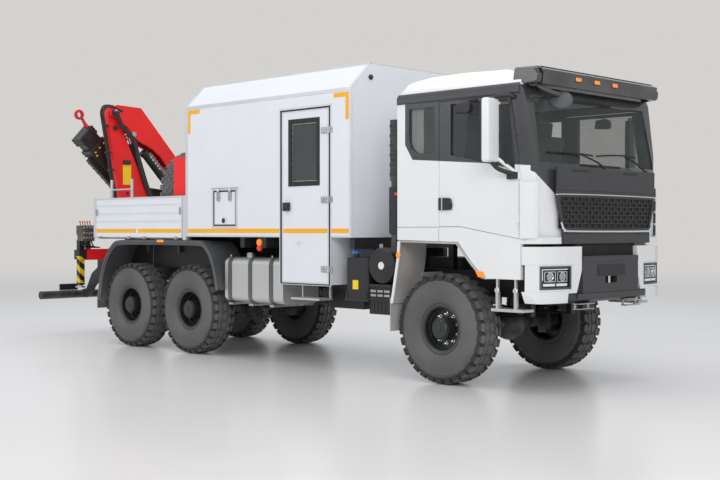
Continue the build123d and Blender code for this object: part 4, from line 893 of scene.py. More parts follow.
def battery_details():
    ribs = [(2444 + i * 62, 2456 + i * 62, -1166, -1158, 745, 1075) for i in range(6)]
    rims = [(2436, 2804, -1172, -1150, 1060, 1092), (2436, 2804, -1172, -1150, 900, 925)]
    boxes("battery_ribs", ribs + rims, "black", bevel=3)
    plates = [(x, x + 90, -1178, -1160, z - 14, z + 14) for z in (960, 1010) for x in (2470, 2580, 2690)]
    boxes("battery_plates", plates, "steel", bevel=4)
    boxes("fill_box", [(2160, 2228, -760, -700, 1430, 1560)], "cab", bevel=6)


def brake_details():
    heights = [1500 - index * 32 for index in range(5)]
    pipes("air_lines", [[(2300, -470, z), (1200, -500, z - 10), (-200, -480, z + 6), (-900, -470, z)]
                        for z in heights], 9, "hose")
    hoses = [[(x, side * 480, 1000), (x + 60, side * 560, 900), (x + 40, side * 650, 760),
              (x, side * 700, 700)] for x in (-1040, -2480, 3590) for side in (-1, 1)]
    pipes("spring_brake_hoses", hoses, 11, "hose")
    cans = []
    for x in AXLE_X:
        for side in (-1, 1):
            cans.append(((x - 150, side * 640, 760), (-1, 0, 0.25), 84, 150))
            cans.append(((x - 230, side * 640, 780), (-1, 0, 0.25), 74, 90))
    discs("brake_chambers", cans, "machine", steps=24, edge=12)


# Cab details

LAMP_PATH = [(4760, -1238), (4830, -1226), (4918, -1145), (4966, -948), (4992, -702)]
LAMP_AXIS_Z = 1241
VANE_PATH = [(4722, -1256), (4790, -1242), (4850, -1198), (4886, -1130)]
WALL_STEPS = 14
ROUND_MIRROR = (4880, -770, 3090)
ROUND_MIRROR_AXIS = (-0.45, 0.6, -0.62)
VISOR_LAMP_Y = (-494, -134, 226)
ROOF_RAIL = [(1249, 3158), (1264, 3166), (1264, 3236), (1236, 3276), (1222, 3270)]
DOOR_HANDLE = [(3604, 1948), (3784, 1952), (3796, 1990), (3790, 2056), (3760, 2082), (3604, 2088)]
RAMP_MIRROR = [(3930, 2990), (4120, 2978), (4150, 3010), (4140, 3084), (4100, 3106), (3950, 3100)]
ARCH_MARKER = [(4160, 1222), (4262, 1222), (4216, 1288), (4118, 1288)]
GUARD_EDGE = [(2862, 884), (2958, 1400), (2972, 1600), (3012, 1600), (2996, 1395), (2898, 884)]
MIRROR_ARMS = [[(4640, 1262, 3120), (4600, 1300, 3138), (4520, 1360, 3130), (4460, 1400, 3104)],
               [(4655, 1262, 2318), (4590, 1300, 2330), (4500, 1370, 2380), (4456, 1410, 2450)],
               [(4398, 1336, 3060), (4396, 1330, 2800), (4398, 1336, 2490)]]
RAMP_MIRROR_ARM = [[(4130, 1256, 3128), (4090, 1290, 3130), (4060, 1340, 3104)]]
STEP_POST_X = (4400, 4640)


def along_path(path, share, offset=0.0):
    """Point and outward direction at a share of the path's length, moved out by offset."""
    spots = [Vector((x, y, 0)) for x, y in path]
    runs = [(b - a).length for a, b in zip(spots, spots[1:])]
    left = share * sum(runs)
    for a, b, run in zip(spots, spots[1:], runs):
        if left <= run or b is spots[-1]:
            ahead = (b - a).normalized()
            outward = Vector((ahead.y, -ahead.x, 0))
            if outward.x < 0 and outward.y > 0:
                outward = -outward
            return a + ahead * left + outward * offset, outward
        left -= run


def add_wall(bm, path, shares, z0, z1, offset, depth, side):
    """Curved strip along the path between two shares of its length."""
    rows = []
    for index in range(WALL_STEPS + 1):
        share = shares[0] + (shares[1] - shares[0]) * index / WALL_STEPS
        row = []
        for reach in (offset, offset + depth):
            spot = along_path(path, share, reach)[0]
            row += [bm.verts.new((spot.x, -side * spot.y, z)) for z in (z0, z1)]
        rows.append(row)
    for a, b in zip(rows, rows[1:]):
        for i, j in ((0, 1), (1, 3), (3, 2), (2, 0)):
            bm.faces.new((a[i], b[i], b[j], a[j]))
    for row, order in ((rows[0], (0, 1, 3, 2)), (rows[-1], (0, 2, 3, 1))):
        bm.faces.new([row[k] for k in order])


def walls(name, path, strips, material, side, bevel=0.0):
    """Each strip is (first share, last share, z0, z1, offset, depth)."""
    bm = bmesh.new()
    for share0, share1, *rest in strips:
        add_wall(bm, path, (share0, share1), *rest, side)
    return make(name, bm, material, bevel=bevel)


def lamp_frames():
    """Thin frames round the two lenses."""
    strips = []
    for low, high in ((0.35, 0.595), (0.63, 0.875)):
        strips += [(low, high, 1186, 1194, -18, 9), (low, high, 1288, 1296, -18, 9)]
        strips += [(low, low + 0.016, 1186, 1296, -18, 9), (high - 0.016, high, 1186, 1296, -18, 9)]
    return strips


def headlamps():
    for hand, side in SIDES.items():
        piece = walls(f"lamp_surround_{hand}", LAMP_PATH,
                      [(0.0, 0.26, 1085, 1365, -14, 14), (0.25, 1.0, 1085, 1108, -14, 14),
                       (0.25, 1.0, 1350, 1365, -14, 14), (0.955, 1.0, 1108, 1350, -14, 14)], "cab", side, 3)
        if side < 0:
            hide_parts("headlamps")
        walls(f"lamp_bezel_{hand}", LAMP_PATH,
              [(0.25, 0.96, 1106, 1126, -8, 12), (0.25, 0.96, 1334, 1352, -8, 12),
               (0.25, 0.285, 1120, 1340, -8, 12), (0.925, 0.96, 1120, 1340, -8, 12)], "fender", side, 5)
        walls(f"lamp_field_{hand}", LAMP_PATH, [(0.26, 0.95, 1110, 1348, -24, 4)], "machine", side)
        walls(f"lamp_bars_{hand}", LAMP_PATH,
              [(0.33, 0.58, 1142, 1168, -18, 6), (0.62, 0.88, 1142, 1168, -18, 6),
               (0.31, 0.90, 1312, 1322, -18, 6), (0.31, 0.325, 1200, 1312, -18, 6)], "drl", side, 2)
        walls(f"lamp_frames_{hand}", LAMP_PATH, lamp_frames(), "chrome", side, 1)
        rings, glasses = bmesh.new(), bmesh.new()
        for share in (0.47, 0.752):
            spot, outward = along_path(LAMP_PATH, share, -16)
            centre = (spot.x, -side * spot.y, LAMP_AXIS_Z)
            axis = (outward.x, -side * outward.y, 0)
            add_lathe(rings, [(38, 0), (50, 0), (48, 9), (40, 4)], centre, axis)
            add_lathe(glasses, [(0, 12), (14, 11), (28, 7), (38, 1), (38, 0), (0, 0)], centre, axis)
        make(f"lamp_rings_{hand}", rings, "chrome")
        make(f"lamp_lenses_{hand}", glasses, "lamp_glass")
        walls(f"corner_skirt_{hand}", LAMP_PATH, [(0.0, 0.72, 1584, 1652, -10, 8)], "cab", side, 3)


def nose():
    boxes("nose_slots", [(4984, 4992, -700, -392, 2352, 2372), (4984, 4992, 305, 590, 2350, 2370)], "black",
          bevel=4)
    boxes("plate_holder", [(5020, 5026, -275, 275, 1232, 1354)], "black", bevel=3)
    boxes("plate_face", [(5025, 5029, -255, 255, 1244, 1342)], "black", bevel=1)
    treads = [(4930, 5026, -620, -330, 936, 948), (4930, 5026, 330, 620, 936, 948)]
    treads += [(4940, 4960, y - 12, y + 12, 890, 940) for y in (-600, -350, 350, 600)]
    treads += [(4935, 5015, y - 150, y + 150, 880, 892) for y in (-475, 475)]
    boxes("foot_steps", treads, "steel", bevel=3)
    wipers()
    for hand, side in SIDES.items():
        deflector(hand, side)


def deflector(hand, side):
    """Vane that stands off the cab's corner on short bridges, with dark gaps between them."""
    walls(f"vane_{hand}", VANE_PATH, [(0.0, 0.82, 1640, 2230, 16, 10)], "cab", side, 5)
    bridges = [(0.05, 0.74, z, min(z + 30, 2230), -12, 28) for z in (1640, 1784, 1928, 2072, 2216)]
    walls(f"vane_bridges_{hand}", VANE_PATH, bridges, "cab", side, 2)
    walls(f"vane_shadow_{hand}", VANE_PATH, [(0.04, 0.76, 1650, 2222, -8, 8)], "seal", side)


def wipers():
    arms = [[(4962, -42, 2404), (4930, -140, 2470), (4884, -376, 2548), (4878, -420, 2556)],
            [(4962, 817, 2390), (4930, 720, 2470), (4884, 513, 2566), (4878, 470, 2574)]]
    blades = [[(4858, -970, 2548), (4872, -700, 2556), (4878, -420, 2556), (4872, -150, 2548)],
              [(4876, -80, 2546), (4880, 200, 2566), (4878, 480, 2574), (4866, 740, 2566)]]
    pipes("wiper_arms", arms, 11, "black")
    pipes("wiper_blades", blades, 9, "seal")
    pivots = [((4950, y, z), (1, 0, 0.2), 24, 26) for y, z in ((-42, 2400), (817, 2388))]
    discs("wiper_pivots", pivots, "black")


def screen_edges():
    """Dark edges above and below the sloping windscreen."""
    bm = bmesh.new()
    for z0, z1 in ((2418, 2446), (3122, 3150)):
        low, high = (4745 + (3190 - z) * 0.1772 for z in (z0, z1))
        add_prism(bm, [(low + 2, z0), (high + 2, z1), (high - 12, z1), (low - 12, z0)], "y", -400, 400)
    make("screen_edges", bm, "seal")


def visor_details():
    lamps = [(4880, 4930, y - 52, y + 52, 3322, 3366) for y in VISOR_LAMP_Y]
    beds = [(4878, 4922, y - 66, y + 66, 3312, 3376) for y in VISOR_LAMP_Y]
    boxes("visor_lamps", lamps, "amber", bevel=10)
    boxes("visor_lamp_beds", beds, "machine", bevel=8)
    end = [(4560, 3260), (4700, 3240), (4900, 3262), (4912, 3350), (4860, 3425), (4590, 3440)]
    for hand, side in SIDES.items():
        prism(f"visor_end_{hand}", end, "y", *sided(side, 1128, 1200), "visor", bevel=24)
    boxes("visor_seams", [(4862, 4868, -1100, 1100, 3432, 3440)], "machine", bevel=2)
    arm = [(4800, -1100, 3262), (4850, -1060, 3215), (4890, -940, 3178), (4900, -840, 3160)]
    pipes("round_mirror_arm", [arm], 22, "fender")
    dish = [(0, 0), (70, -2), (120, -10), (130, -26), (124, -44), (80, -64), (34, -72), (0, -74)]
    lathe("round_mirror", dish, ROUND_MIRROR, ROUND_MIRROR_AXIS, "fender", steps=40)
    lathe("round_mirror_glass", [(0, 3), (100, 1), (110, -6)], ROUND_MIRROR, ROUND_MIRROR_AXIS, "mirror",
          steps=40)


def on_side(side, routes):
    return [[(x, side * y, z) for x, y, z in route] for route in routes]


def cab_side_details():
    for hand, side in SIDES.items():
        mirror_details(hand, side, f"cab_door_{hand}")
        cab_trim_details(hand, side, f"cab_door_{hand}")


def mirror_details(hand, side, door):
    boxes(f"mirror_sleeves_{hand}", [(4556, 4690, *sided(side, 1248, 1290), 2262, 2334)], "black", door, 10)
    pipes(f"mirror_arms_{hand}", on_side(side, MIRROR_ARMS), 24, "black", door)
    glass = sided(side, 1352, 1518)
    boxes(f"mirror_glass_{hand}", [(4394, 4402, *glass, 2480, 2800)], "mirror", door, 3)
    boxes(f"mirror_glass_top_{hand}", [(4394, 4402, *glass, 2830, 3070)], "mirror", door, 3)
    boxes(f"mirror_rim_{hand}", [(4396, 4420, *sided(side, 1340, 1530), 2452, 3098)], "black", door, 14)
    prism(f"ramp_mirror_{hand}", RAMP_MIRROR, "y", *sided(side, 1320, 1396), "black", door, 18)
    pipes(f"ramp_mirror_arm_{hand}", on_side(side, RAMP_MIRROR_ARM), 16, "black", door)


def cab_trim_details(hand, side, door):
    prism(f"roof_rail_{hand}", [(side * y, z) for y, z in ROOF_RAIL], "x", 2972, 4700, "dark", bevel=4)
    prism(f"door_handle_{hand}", DOOR_HANDLE, "y", *sided(side, 1249, 1274), "black", door, 8)
    bar = (3652, 3670, *sided(side, 1272, 1280), 1950, 2086)
    boxes(f"door_handle_bar_{hand}", [bar], "chrome", door, 3)
    seam = sided(side, 1249.4, 1250.6)
    boxes(f"cab_seams_{hand}", [(2972, 3590, *seam, 1760, 1765), (3594, 3598, *seam, 1604, 1762)], "seal",
          bevel=0)
    bead = sided(side, 1232, 1252)
    boxes(f"window_bead_{hand}", [(3766, 3772, *bead, 2556, 3108), (3766, 4540, *bead, 3106, 3114)], "seal",
          door, 1)
    prism(f"arch_marker_{hand}", ARCH_MARKER, "y", *sided(side, 1249, 1262), "amber", bevel=6)
    marker = ((2990, side * SIDE_FACE, 1444), (0, side, 0), 34, 16)
    discs(f"rear_marker_{hand}", [marker], "amber", steps=20, edge=6)
    prism(f"guard_edge_{hand}", GUARD_EDGE, "y", *sided(side, 1236, 1253), "cab", bevel=4)
    posts = [(x - 18, x + 18, *sided(side, 1204, 1244), 886, 1080) for x in STEP_POST_X]
    boxes(f"cab_step_posts_{hand}", posts, "alloy", bevel=5)
    boxes(f"cab_step_edge_{hand}", [(4322, 4738, *sided(side, 1040, 1246), 864, 896)], "alloy", bevel=5)
    discs(f"cab_step_bolts_{hand}", [((x, side * 1236, 1090), (0, side, 0), 30, 12) for x in STEP_POST_X],
          "chrome", steps=16, edge=4)


def snorkel():
    slots = []
    for row in range(11):
        z = 2360 + row * 56
        for column in range(3):
            y = -1176 + column * 44 + (22 if row % 2 else 0)
            x = 2794 + column * 34 + (14 if row % 2 else 0)
            slots += [(2899, 2903.5, y, y + 22, z, z + 34), (x, x + 18, -1194, -1189, z, z + 34)]
    boxes("snorkel_slots", slots, "machine", bevel=1.5)
    boxes("snorkel_box", [(2775, 2905, -1195, -1040, 1680, 2236)], "black", bevel=22)
    discs("snorkel_lamp", [((2900, -1196, 2147), (0, -1, 0), 20, 12)], "ruby", steps=16, edge=4)


# Crane details

ARM_FACE = -3875
PIN_X = -3827
CYLINDER_TOP, CYLINDER_FOOT = Vector((ARM_FACE - 60, 60, 3005)), Vector((ARM_FACE - 60, 560, 2470))
LINK_ARM = [(-600, 3640), (-560, 3672), (-518, 3640), (-400, 3400), (-262, 3300), (-210, 3250),
            (-150, 3050), (-190, 3040), (-250, 3180), (-330, 3262), (-470, 3390)]
COLUMN_STRAP = [(-205, 3230), (-150, 3210), (-60, 2900), (60, 2560), (180, 2260), (250, 2080), (200, 2060),
                (110, 2240), (-20, 2520), (-140, 2860)]
PACK_X = -4278
PACK_TURN = math.radians(137)
ELBOW_Y, ELBOW_Z = 850, 2350
PACK_OFFSET = 500
VALVE_X = -3990
VALVE_Y = [-1158 + index * 44 for index in range(5)]


def on_face(x, spots):
    """Discs that face forward, from rows of (step forward, y, z, radius, depth)."""
    return [((x + step, y, z), (1, 0, 0), radius, depth) for step, y, z, radius, depth in spots]


def crane_pins():
    discs("column_pin", on_face(ARM_FACE, [(0, -530, 3376, 44, 16), (15, -530, 3376, 22, 10),
                                           (0, -300, 2330, 26, 8)]), "machine", "mast")
    discs("head_pins", on_face(PIN_X, [(0, -560, 3610, 66, 26), (24, -560, 3610, 34, 12)]), "machine",
          "inner_boom")
    discs("elbow_pins", on_face(PIN_X, [(0, ELBOW_Y, ELBOW_Z, 70, 24), (22, ELBOW_Y, ELBOW_Z, 36, 10)]),
          "machine", "inner_boom")
    discs("link_pins", on_face(PIN_X, [(20, -225, 3290, 40, 22), (20, -560, 3640, 34, 14)]), "steel",
          "inner_boom")
    prism("link_arm", LINK_ARM, "x", PIN_X - 1, PIN_X + 22, "machine", "inner_boom", 6)


def column_details():
    x = ARM_FACE
    boxes("column_label", [(x, x + 2, -388, -232, 2470, 2790)], "yellow", "mast", 0.6)
    boxes("column_device", [(x, x + 30, -384, -258, 2800, 2866), (x + 28, x + 34, -366, -320, 2816, 2850)],
          "machine", "mast", 5)
    prism("column_strap", COLUMN_STRAP, "x", x - 1, x + 36, "machine", "mast", 8)
    clamps = ((-742, 3405), (-690, 2980), (-640, 2700), (-585, 2390))
    boxes("hose_clamps", [(x - 2, x + 50, y - 34, y + 66, z - 14, z + 14) for y, z in clamps], "machine",
          "mast", 6)
    brackets = ((-720, 3405), (-670, 2980), (-620, 2700), (-560, 2390))
    boxes("clamp_brackets", [(x - 95, x + 6, y, y + 150, z - 10, z + 10) for y, z in brackets], "red",
          "mast", 3)
    boxes("ring_lamp", [(-3800, -3780, -420, -380, 1443, 1480)], "black", bevel=3)


def boom_cylinder():
    run = CYLINDER_FOOT - CYLINDER_TOP
    bm = bmesh.new()
    for first, last, radius in ((0, 1, 64), (0.9, 1, 76), (-0.04, 0.06, 76)):
        add_tube(bm, [CYLINDER_TOP + run * first, CYLINDER_TOP + run * last], radius, 24)
    make("boom_cylinder", bm, "machine", "inner_boom", 0, 50)
    bm = bmesh.new()
    add_tube(bm, [CYLINDER_FOOT, CYLINDER_FOOT + run * 0.36], 30, 16)
    make("boom_rod", bm, "chrome", "inner_boom", 0, 50)
    fittings = []
    for share in (0.16, 0.24, 0.34, 0.42, 0.5):
        x, y, z = CYLINDER_TOP + run * share
        fittings.append(((x + 50, y, z), (1, 0.2, 0.4), 17, 40))
        fittings.append(((x + 40, y + 40, z + 36), (0.6, 0.6, 0.6), 13, 34))
    discs("boom_fittings", fittings, "chrome", "inner_boom", 10, 3)
    x = ARM_FACE
    lines = [[(x - 10, y, 3010), (x + 6, y + 160, 2830), (x + 2, y + 320, 2660), (x - 20, y + 460, 2490)]
             for y in (100, 124, 148)]
    pipes("boom_lines", lines, 8, "steel", "inner_boom")


def crane_hoses():
    bundle = []
    for shift in (0, 28):
        for x in (ARM_FACE + 4, ARM_FACE + 30):
            bundle.append([(x, -520 + shift, 1900), (x, -560 + shift, 2240), (x, -640 + shift, 2640),
                           (x, -700 + shift, 3010), (x, -752 + shift, 3300), (x, -790 + shift, 3500)])
    pipes("column_hoses", bundle, 15, "hose", "mast")
    bm = bmesh.new()
    for index in range(3):
        x = ARM_FACE + 4 + index * 26
        grow = index * 14
        loop = [(x, -786 + index * 10, 3480), (x, -806 + grow * 0.5, 3600), (x, -770 + grow, 3700 - grow),
                (x, -690, 3730 - grow), (x, -590, 3728 - grow), (x, -500, 3700 - grow), (x, -430, 3650)]
        add_tube(bm, smooth_line(loop), 13, 10)
    hoses = make("head_hoses", bm, "hose", None, 0, 50)
    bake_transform(hoses)


def pack_point(along, across):
    """Y and Z of a place on the folded outer arm, measured along and across it from the elbow."""
    ahead = Vector((math.cos(PACK_TURN), math.sin(PACK_TURN)))
    beside = Vector((math.cos(PACK_TURN + math.pi / 2), math.sin(PACK_TURN + math.pi / 2)))
    y = ELBOW_Y + ahead.x * along + beside.x * (PACK_OFFSET + across)
    z = ELBOW_Z + ahead.y * along + beside.y * (PACK_OFFSET + across)
    return y, z


def pack_boxes(name, rows, material, body, bevel):
    """Each row is (first along, last along, first across, last across, x0, x1), X from the arm's middle."""
    bm = bmesh.new()
    for along0, along1, across0, across1, x0, x1 in rows:
        corners = ((along0, across0), (along1, across0), (along1, across1), (along0, across1))
        add_prism(bm, [pack_point(*corner) for corner in corners], "x", PACK_X + x0, PACK_X + x1)
    make(name, bm, material, body, bevel)


def pack_discs(name, spots, step, radius, depth, material, body, steps):
    places = [((PACK_X + step, *pack_point(*spot)), (1, 0, 0), radius, depth) for spot in spots]
    discs(name, places, material, body, steps, 2)


def arm_end_details():
    """Collars, ribs, pins and eye of the folded outer arm."""
    collars = [(along, along + 26, -180, 180, -136, 136) for along in (1560, 1610)]
    pack_boxes("arm_collars", collars, "machine", "outer_boom", 5)
    collars = [(along, along + 22, -172, 172, -128, 128) for along in (1800, 1850, 1896)]
    pack_boxes("head_collars", collars + [(1790, 1925, -70, 70, 120, 136)], "machine", "extension", 5)
    clamps = [(along, along + 16, 160, 262, -52, 52) for along in range(260, 1471, 110)]
    pack_boxes("arm_cylinder_clamps", clamps, "machine", "outer_boom", 3)
    pack_boxes("arm_bracket", [(1500, 1548, -260, -165, -60, 60)], "machine", "outer_boom", 6)
    pack_discs("arm_dots", ((1585, -110), (1585, 0), (1585, 110), (1530, 130), (1530, -130)), 132, 15, 8,
               "yellow", "outer_boom", 12)
    pack_discs("head_bolts", ((1830, -110), (1830, 110), (1880, 0), (1880, 90), (1880, -90)), 124, 18, 16,
               "machine", "extension", 8)
    link = []
    for near, far in ((-34, -12), (34, 12)):
        start = (PACK_X + near, *pack_point(1900, -120))
        end = (PACK_X + far, *pack_point(2060, -172))
        link.append([start, tuple((a + b) / 2 for a, b in zip(start, end)), end])
    pipes("eye_link", link, 17, "red", "extension", False)
    lathe("eye_ring", [(43, -25), (70, -25), (80, -14), (80, 14), (70, 25), (43, 25)],
          (PACK_X, *pack_point(2160, -180)), (1, 0, 0), "red", "extension")
    route = ((200, -190), (620, -186), (1100, -190), (1500, -196))
    hoses = [[(PACK_X + x, *pack_point(*spot)) for spot in route] for x in (-60, -8, 44)]
    pipes("arm_hoses", hoses, 12, "hose", "outer_boom")


def valve_details():
    x = VALVE_X
    slices = [(x + 20, x + 190, y - 18, y + 16, 1560, 1806) for y in VALVE_Y]
    boxes("valve_slices", slices, "olive", bevel=5)
    caps = []
    for y in VALVE_Y:
        for z, radius, depth in ((1770, 15, 34), (1690, 17, 22), (1610, 13, 30)):
            caps.append(((x + 186, y, z), (1, 0, 0), radius, depth))
    discs("valve_caps", caps, "steel", steps=12, edge=3)
    pipes("valve_hoses", [[(x + 120, y, 1570), (x + 130, y + 10, 1510), (x + 110, y + 60, 1470),
                           (x + 60, y + 190, 1456)] for y in VALVE_Y], 11, "hose")
    # The knobs take the red lens material, so their glow is painted light: they are no lamps.
    knobs = [((x + 58, y + 8, 1852), (0, 0, 1), 13, 26) for y in VALVE_Y]
    discs("lever_knobs", knobs, "ruby", steps=12, edge=6)


def rear_details():
    cases = [(-4978, -4952, *sided(side, 560, 900), 735, 840) for side in (-1, 1)]
    boxes("tail_lamp_boxes", cases, "black", bevel=8)
    lamps = (("tail_red", "ruby", 580), ("tail_amber", "amber", 690), ("tail_white", "drl", 800))
    for name, material, low in lamps:
        boxes(name, [(-4984, -4976, *sided(side, low, low + 84), 752, 824) for side in (-1, 1)], material,
              bevel=4)
    clamps = [((-4965, side * y, 665), (0, side, 0), 64, 34) for side in (-1, 1) for y in (330, 520)]
    discs("pipe_clamps", clamps, "chassis", steps=28, edge=4)
    rims = [((-4965, side * 1238, 665), (0, side, 0), 63, 11) for side in (-1, 1)]
    discs("pipe_rims", rims, "machine", steps=32, edge=4)
    markers = [(-1720, -1560, *sided(side, 1246, 1262), 1556, 1594) for side in (-1, 1)]
    boxes("fender_marker_plates", markers, "amber", bevel=5)
    boxes("fender_hangers", [(-1830, -1818, *sided(side, 1232, 1244), 1180, 1582) for side in (-1, 1)],
          "machine", bevel=3)


# Pieces that stand for CAD nodes with softer outlines

MASK_OUTER = [(-984, 2098), (-972, 2150), (-972, 2394), (0, 2396), (972, 2394), (972, 2150), (984, 2098),
              (884, 1760), (862, 1735), (862, 1584), (0, 1583), (-862, 1584), (-862, 1735), (-884, 1760)]
MASK_INNER = [(-930, 2040), (-920, 2072), (-900, 2080), (0, 2086), (900, 2080), (920, 2072), (930, 2040),
              (862, 1800), (850, 1770), (820, 1752), (0, 1742), (-820, 1752), (-850, 1770), (-862, 1800)]
GRILLE_FOOT, GRILLE_ROWS, GRILLE_PITCH, CELL_WIDTH = 1752, 7, 47, 128
BEAM_OUTER = [(-556, 1448), (-440, 1452), (440, 1452), (556, 1448), (556, 1053), (-556, 1053)]
TOW_OPENING = [(-120, 1222), (-116, 1226), (116, 1226), (120, 1222), (112, 1152), (-112, 1152)]
FENDER_PATH = [(-3286, 663), (-3262, 860), (-3190, 1130), (-3060, 1360), (-2860, 1560), (-2640, 1589),
               (-1825, 1589), (-800, 1589), (-640, 1570), (-470, 1400), (-385, 1170), (-324, 923)]
SPARE_MIDDLE = (-1640, -520, 2298)
SPARE_BLOCKS = 34
BLOCK_CORNERS = ((-1, -0.8, -1), (1, -1, -1), (1, 0.8, -1), (-1, 1, -1),
                 (-1, -0.8, 1), (1, -1, 1), (1, 0.8, 1), (-1, 1, 1))
BLOCK_FACES = ((0, 3, 2, 1), (4, 5, 6, 7), (0, 1, 5, 4), (1, 2, 6, 5), (2, 3, 7, 6), (3, 0, 4, 7))


def add_ring_sheet(bm, outer, inner, x0, x1):
    """Sheet across X between two outlines of (y, z) points with equal counts."""
    sets = []
    for x in (x0, x1):
        sets.append([[bm.verts.new((x, y, z)) for y, z in line] for line in (outer, inner)])
    count = len(outer)
    for k in range(count):
        after = (k + 1) % count
        for level in sets:
            bm.faces.new((level[0][k], level[0][after], level[1][after], level[1][k]))
        for line in (0, 1):
            bm.faces.new((sets[0][line][k], sets[0][line][after], sets[1][line][after], sets[1][line][k]))


def both_ways(points):
    """Points given for the left side, as one line from the right side over to the left."""
    return [(x, -y, z) for x, y, z in points] + [(x, y, z) for x, y, z in reversed(points) if y]


def mask():
    bm = bmesh.new()
    add_ring_sheet(bm, MASK_OUTER, MASK_INNER, 4961, 4985)
    piece = make("mask_panel", bm, "dark", bevel=4)
    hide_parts("front_mask")
    seams = [(4984.5, 4987, -970, 970, 2146, 2150), (4984.5, 4987, -860, 860, 1690, 1694)]
    boxes("nose_seams", seams, "seal", bevel=0)
    top = [(4978, 985, 2098), (4988, 972, 2102), (4991, 800, 2108), (4992, 0, 2112)]
    low = [(4980, 900, 1812), (4990, 880, 1755), (4992, 845, 1728), (4993, 780, 1718), (4993, 0, 1714)]
    pipes("grille_strips", [both_ways(top)], 7, "chrome")
    pipes("grille_low_strip", [both_ways(low)], 12, "chrome")


def grille_mesh():
    """Rows of staggered cells in front of a dark backing, and the diamond mesh below the mask."""
    bm = bmesh.new()
    add_box(bm, 4962, 4964, -925, 925, 1745, 2084)
    add_box(bm, 4946, 4948, -600, 600, 1452, 1583)
    piece = make("grille_back", bm, "seal")
    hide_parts("grille")
    bars, webs = bmesh.new(), bmesh.new()
    for row in range(GRILLE_ROWS + 1):
        z = GRILLE_FOOT + row * GRILLE_PITCH
        half = 850 + (z - GRILLE_FOOT) * 0.24
        add_box(bars, 4964, 4978, -half, half, z - 6, z + 6)
        if row < GRILLE_ROWS:
            count = int(half / CELL_WIDTH)
            spots = [(column + (0.5 if row % 2 else 0)) * CELL_WIDTH for column in range(-count, count + 1)]
            for y in spots:
                if abs(y) < half - 8:
                    add_box(webs, 4964, 4976, y - 10, y + 10, z + 5, z + GRILLE_PITCH - 5)
    make("grille_bars", bars, "machine", bevel=5)
    make("grille_webs", webs, "machine", bevel=4)
    lines = [[(4950, y - lean, 1454), (4950, y + lean, 1582)]
             for y in range(-588, 589, 42) for lean in (-65, 65) if abs(y) + abs(lean) < 600]
    pipes("lower_mesh", lines, 5, "machine", curved=False, sides=6)


def bumper_beam():
    """Dark middle of the bumper with its skid and tow recess."""
    bm = bmesh.new()
    add_ring_sheet(bm, BEAM_OUTER, TOW_OPENING, 4942, 5021)
    add_prism(bm, [(4942, 951), (5003, 980), (5028, 1051), (4942, 1051)], "y", -640, 640)
    for side in (-1, 1):
        wing = [(4942, side * 640), (5000, side * 640), (4986, side * 764), (4942, side * 764)]
        add_prism(bm, wing, "z", 985, 1051)
    piece = make("beam_panel", bm, "dark", bevel=7)
    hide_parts("bumper_centre")
    boxes("tow_pocket", [(4944, 4950, -126, 126, 1146, 1232)], "seal", bevel=0)
    bm = bmesh.new()
    add_tube(bm, [Vector((4985, 0, 1130)), Vector((4985, 0, 1246))], 20, 16)
    make("tow_pin", bm, "chrome")
    carriers = [(4560, 4944, *sided(side, 352, 432), 1000, 1200) for side in (-1, 1)]
    boxes("bumper_carriers", carriers, "chassis", bevel=3)
    boxes("beam_lip", [(5018, 5030, -548, 548, 1392, 1440)], "dark", bevel=9)


def rounded(points):
    """The line with its corners cut three times."""
    for _ in range(3):
        out = [points[0]]
        for (x0, z0), (x1, z1) in zip(points, points[1:]):
            out.append((x0 * 0.75 + x1 * 0.25, z0 * 0.75 + z1 * 0.25))
            out.append((x0 * 0.25 + x1 * 0.75, z0 * 0.25 + z1 * 0.75))
        out.append(points[-1])
        points = out
    return points


def inset(points, distance):
    """The line moved to its right hand, which is the wheel's side of a fender."""
    out = []
    for index, (x, z) in enumerate(points):
        x0, z0 = points[max(index - 1, 0)]
        x1, z1 = points[min(index + 1, len(points) - 1)]
        run = math.hypot(x1 - x0, z1 - z0) or 1.0
        out.append((x + (z1 - z0) / run * distance, z - (x1 - x0) / run * distance))
    return out


def fenders():
    path = rounded(FENDER_PATH)
    upper = [(x, z) for x, z in inset(path, 8) if z > 1200]
    lower = [(x, max(1180, z - 420)) for x, z in upper]
    for hand, side in SIDES.items():
        bm = bmesh.new()
        for top, low, y0, y1 in ((0, 7, 740, 1244), (0, 40, 1234, 1246), (42, 70, 1228, 1238),
                                 (-4, 10, 1180, 1200), (-4, 10, 1120, 1135)):
            add_prism(bm, inset(path, top) + inset(path, low)[::-1], "y", *sided(side, y0, y1))
        add_box(bm, -3300, -3282, *sided(side, 1240, 760), 540, 760)
        for x in (-2600, -1825, -880):
            add_box(bm, x - 25, x + 25, *sided(side, 800, 432), 1400, 1582)
        prism(f"fender_wall_{hand}", upper + lower[::-1], "y", *sided(side, 741, 747), "black", bevel=0)
        piece = make(f"fender_{hand}", bm, "fender", smooth=40)
        if side < 0:
            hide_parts("rear_fenders")


def spare_tread():
    """Blocks round the standing spare wheel."""
    bm = bmesh.new()
    x0, y0, z0 = SPARE_MIDDLE
    for index in range(SPARE_BLOCKS):
        for row, across in enumerate((-150, -72, 0, 72, 150)):
            turn = Matrix.Rotation(around(index + (0.5 if row % 2 else 0), SPARE_BLOCKS), 4, "X")
            width, length, height = (30 if abs(across) < 100 else 38, 36, 9)
            corners = []
            for dx, dy, dz in BLOCK_CORNERS:
                point = turn @ Vector((0, dy * length, 596 + dz * height))
                corners.append(bm.verts.new((x0 + across + dx * width, y0 + point.y, z0 + point.z)))
            for face in BLOCK_FACES:
                bm.faces.new([corners[k] for k in face])
    make("spare_tread", bm, "tyre", bevel=2)


# Cab interior

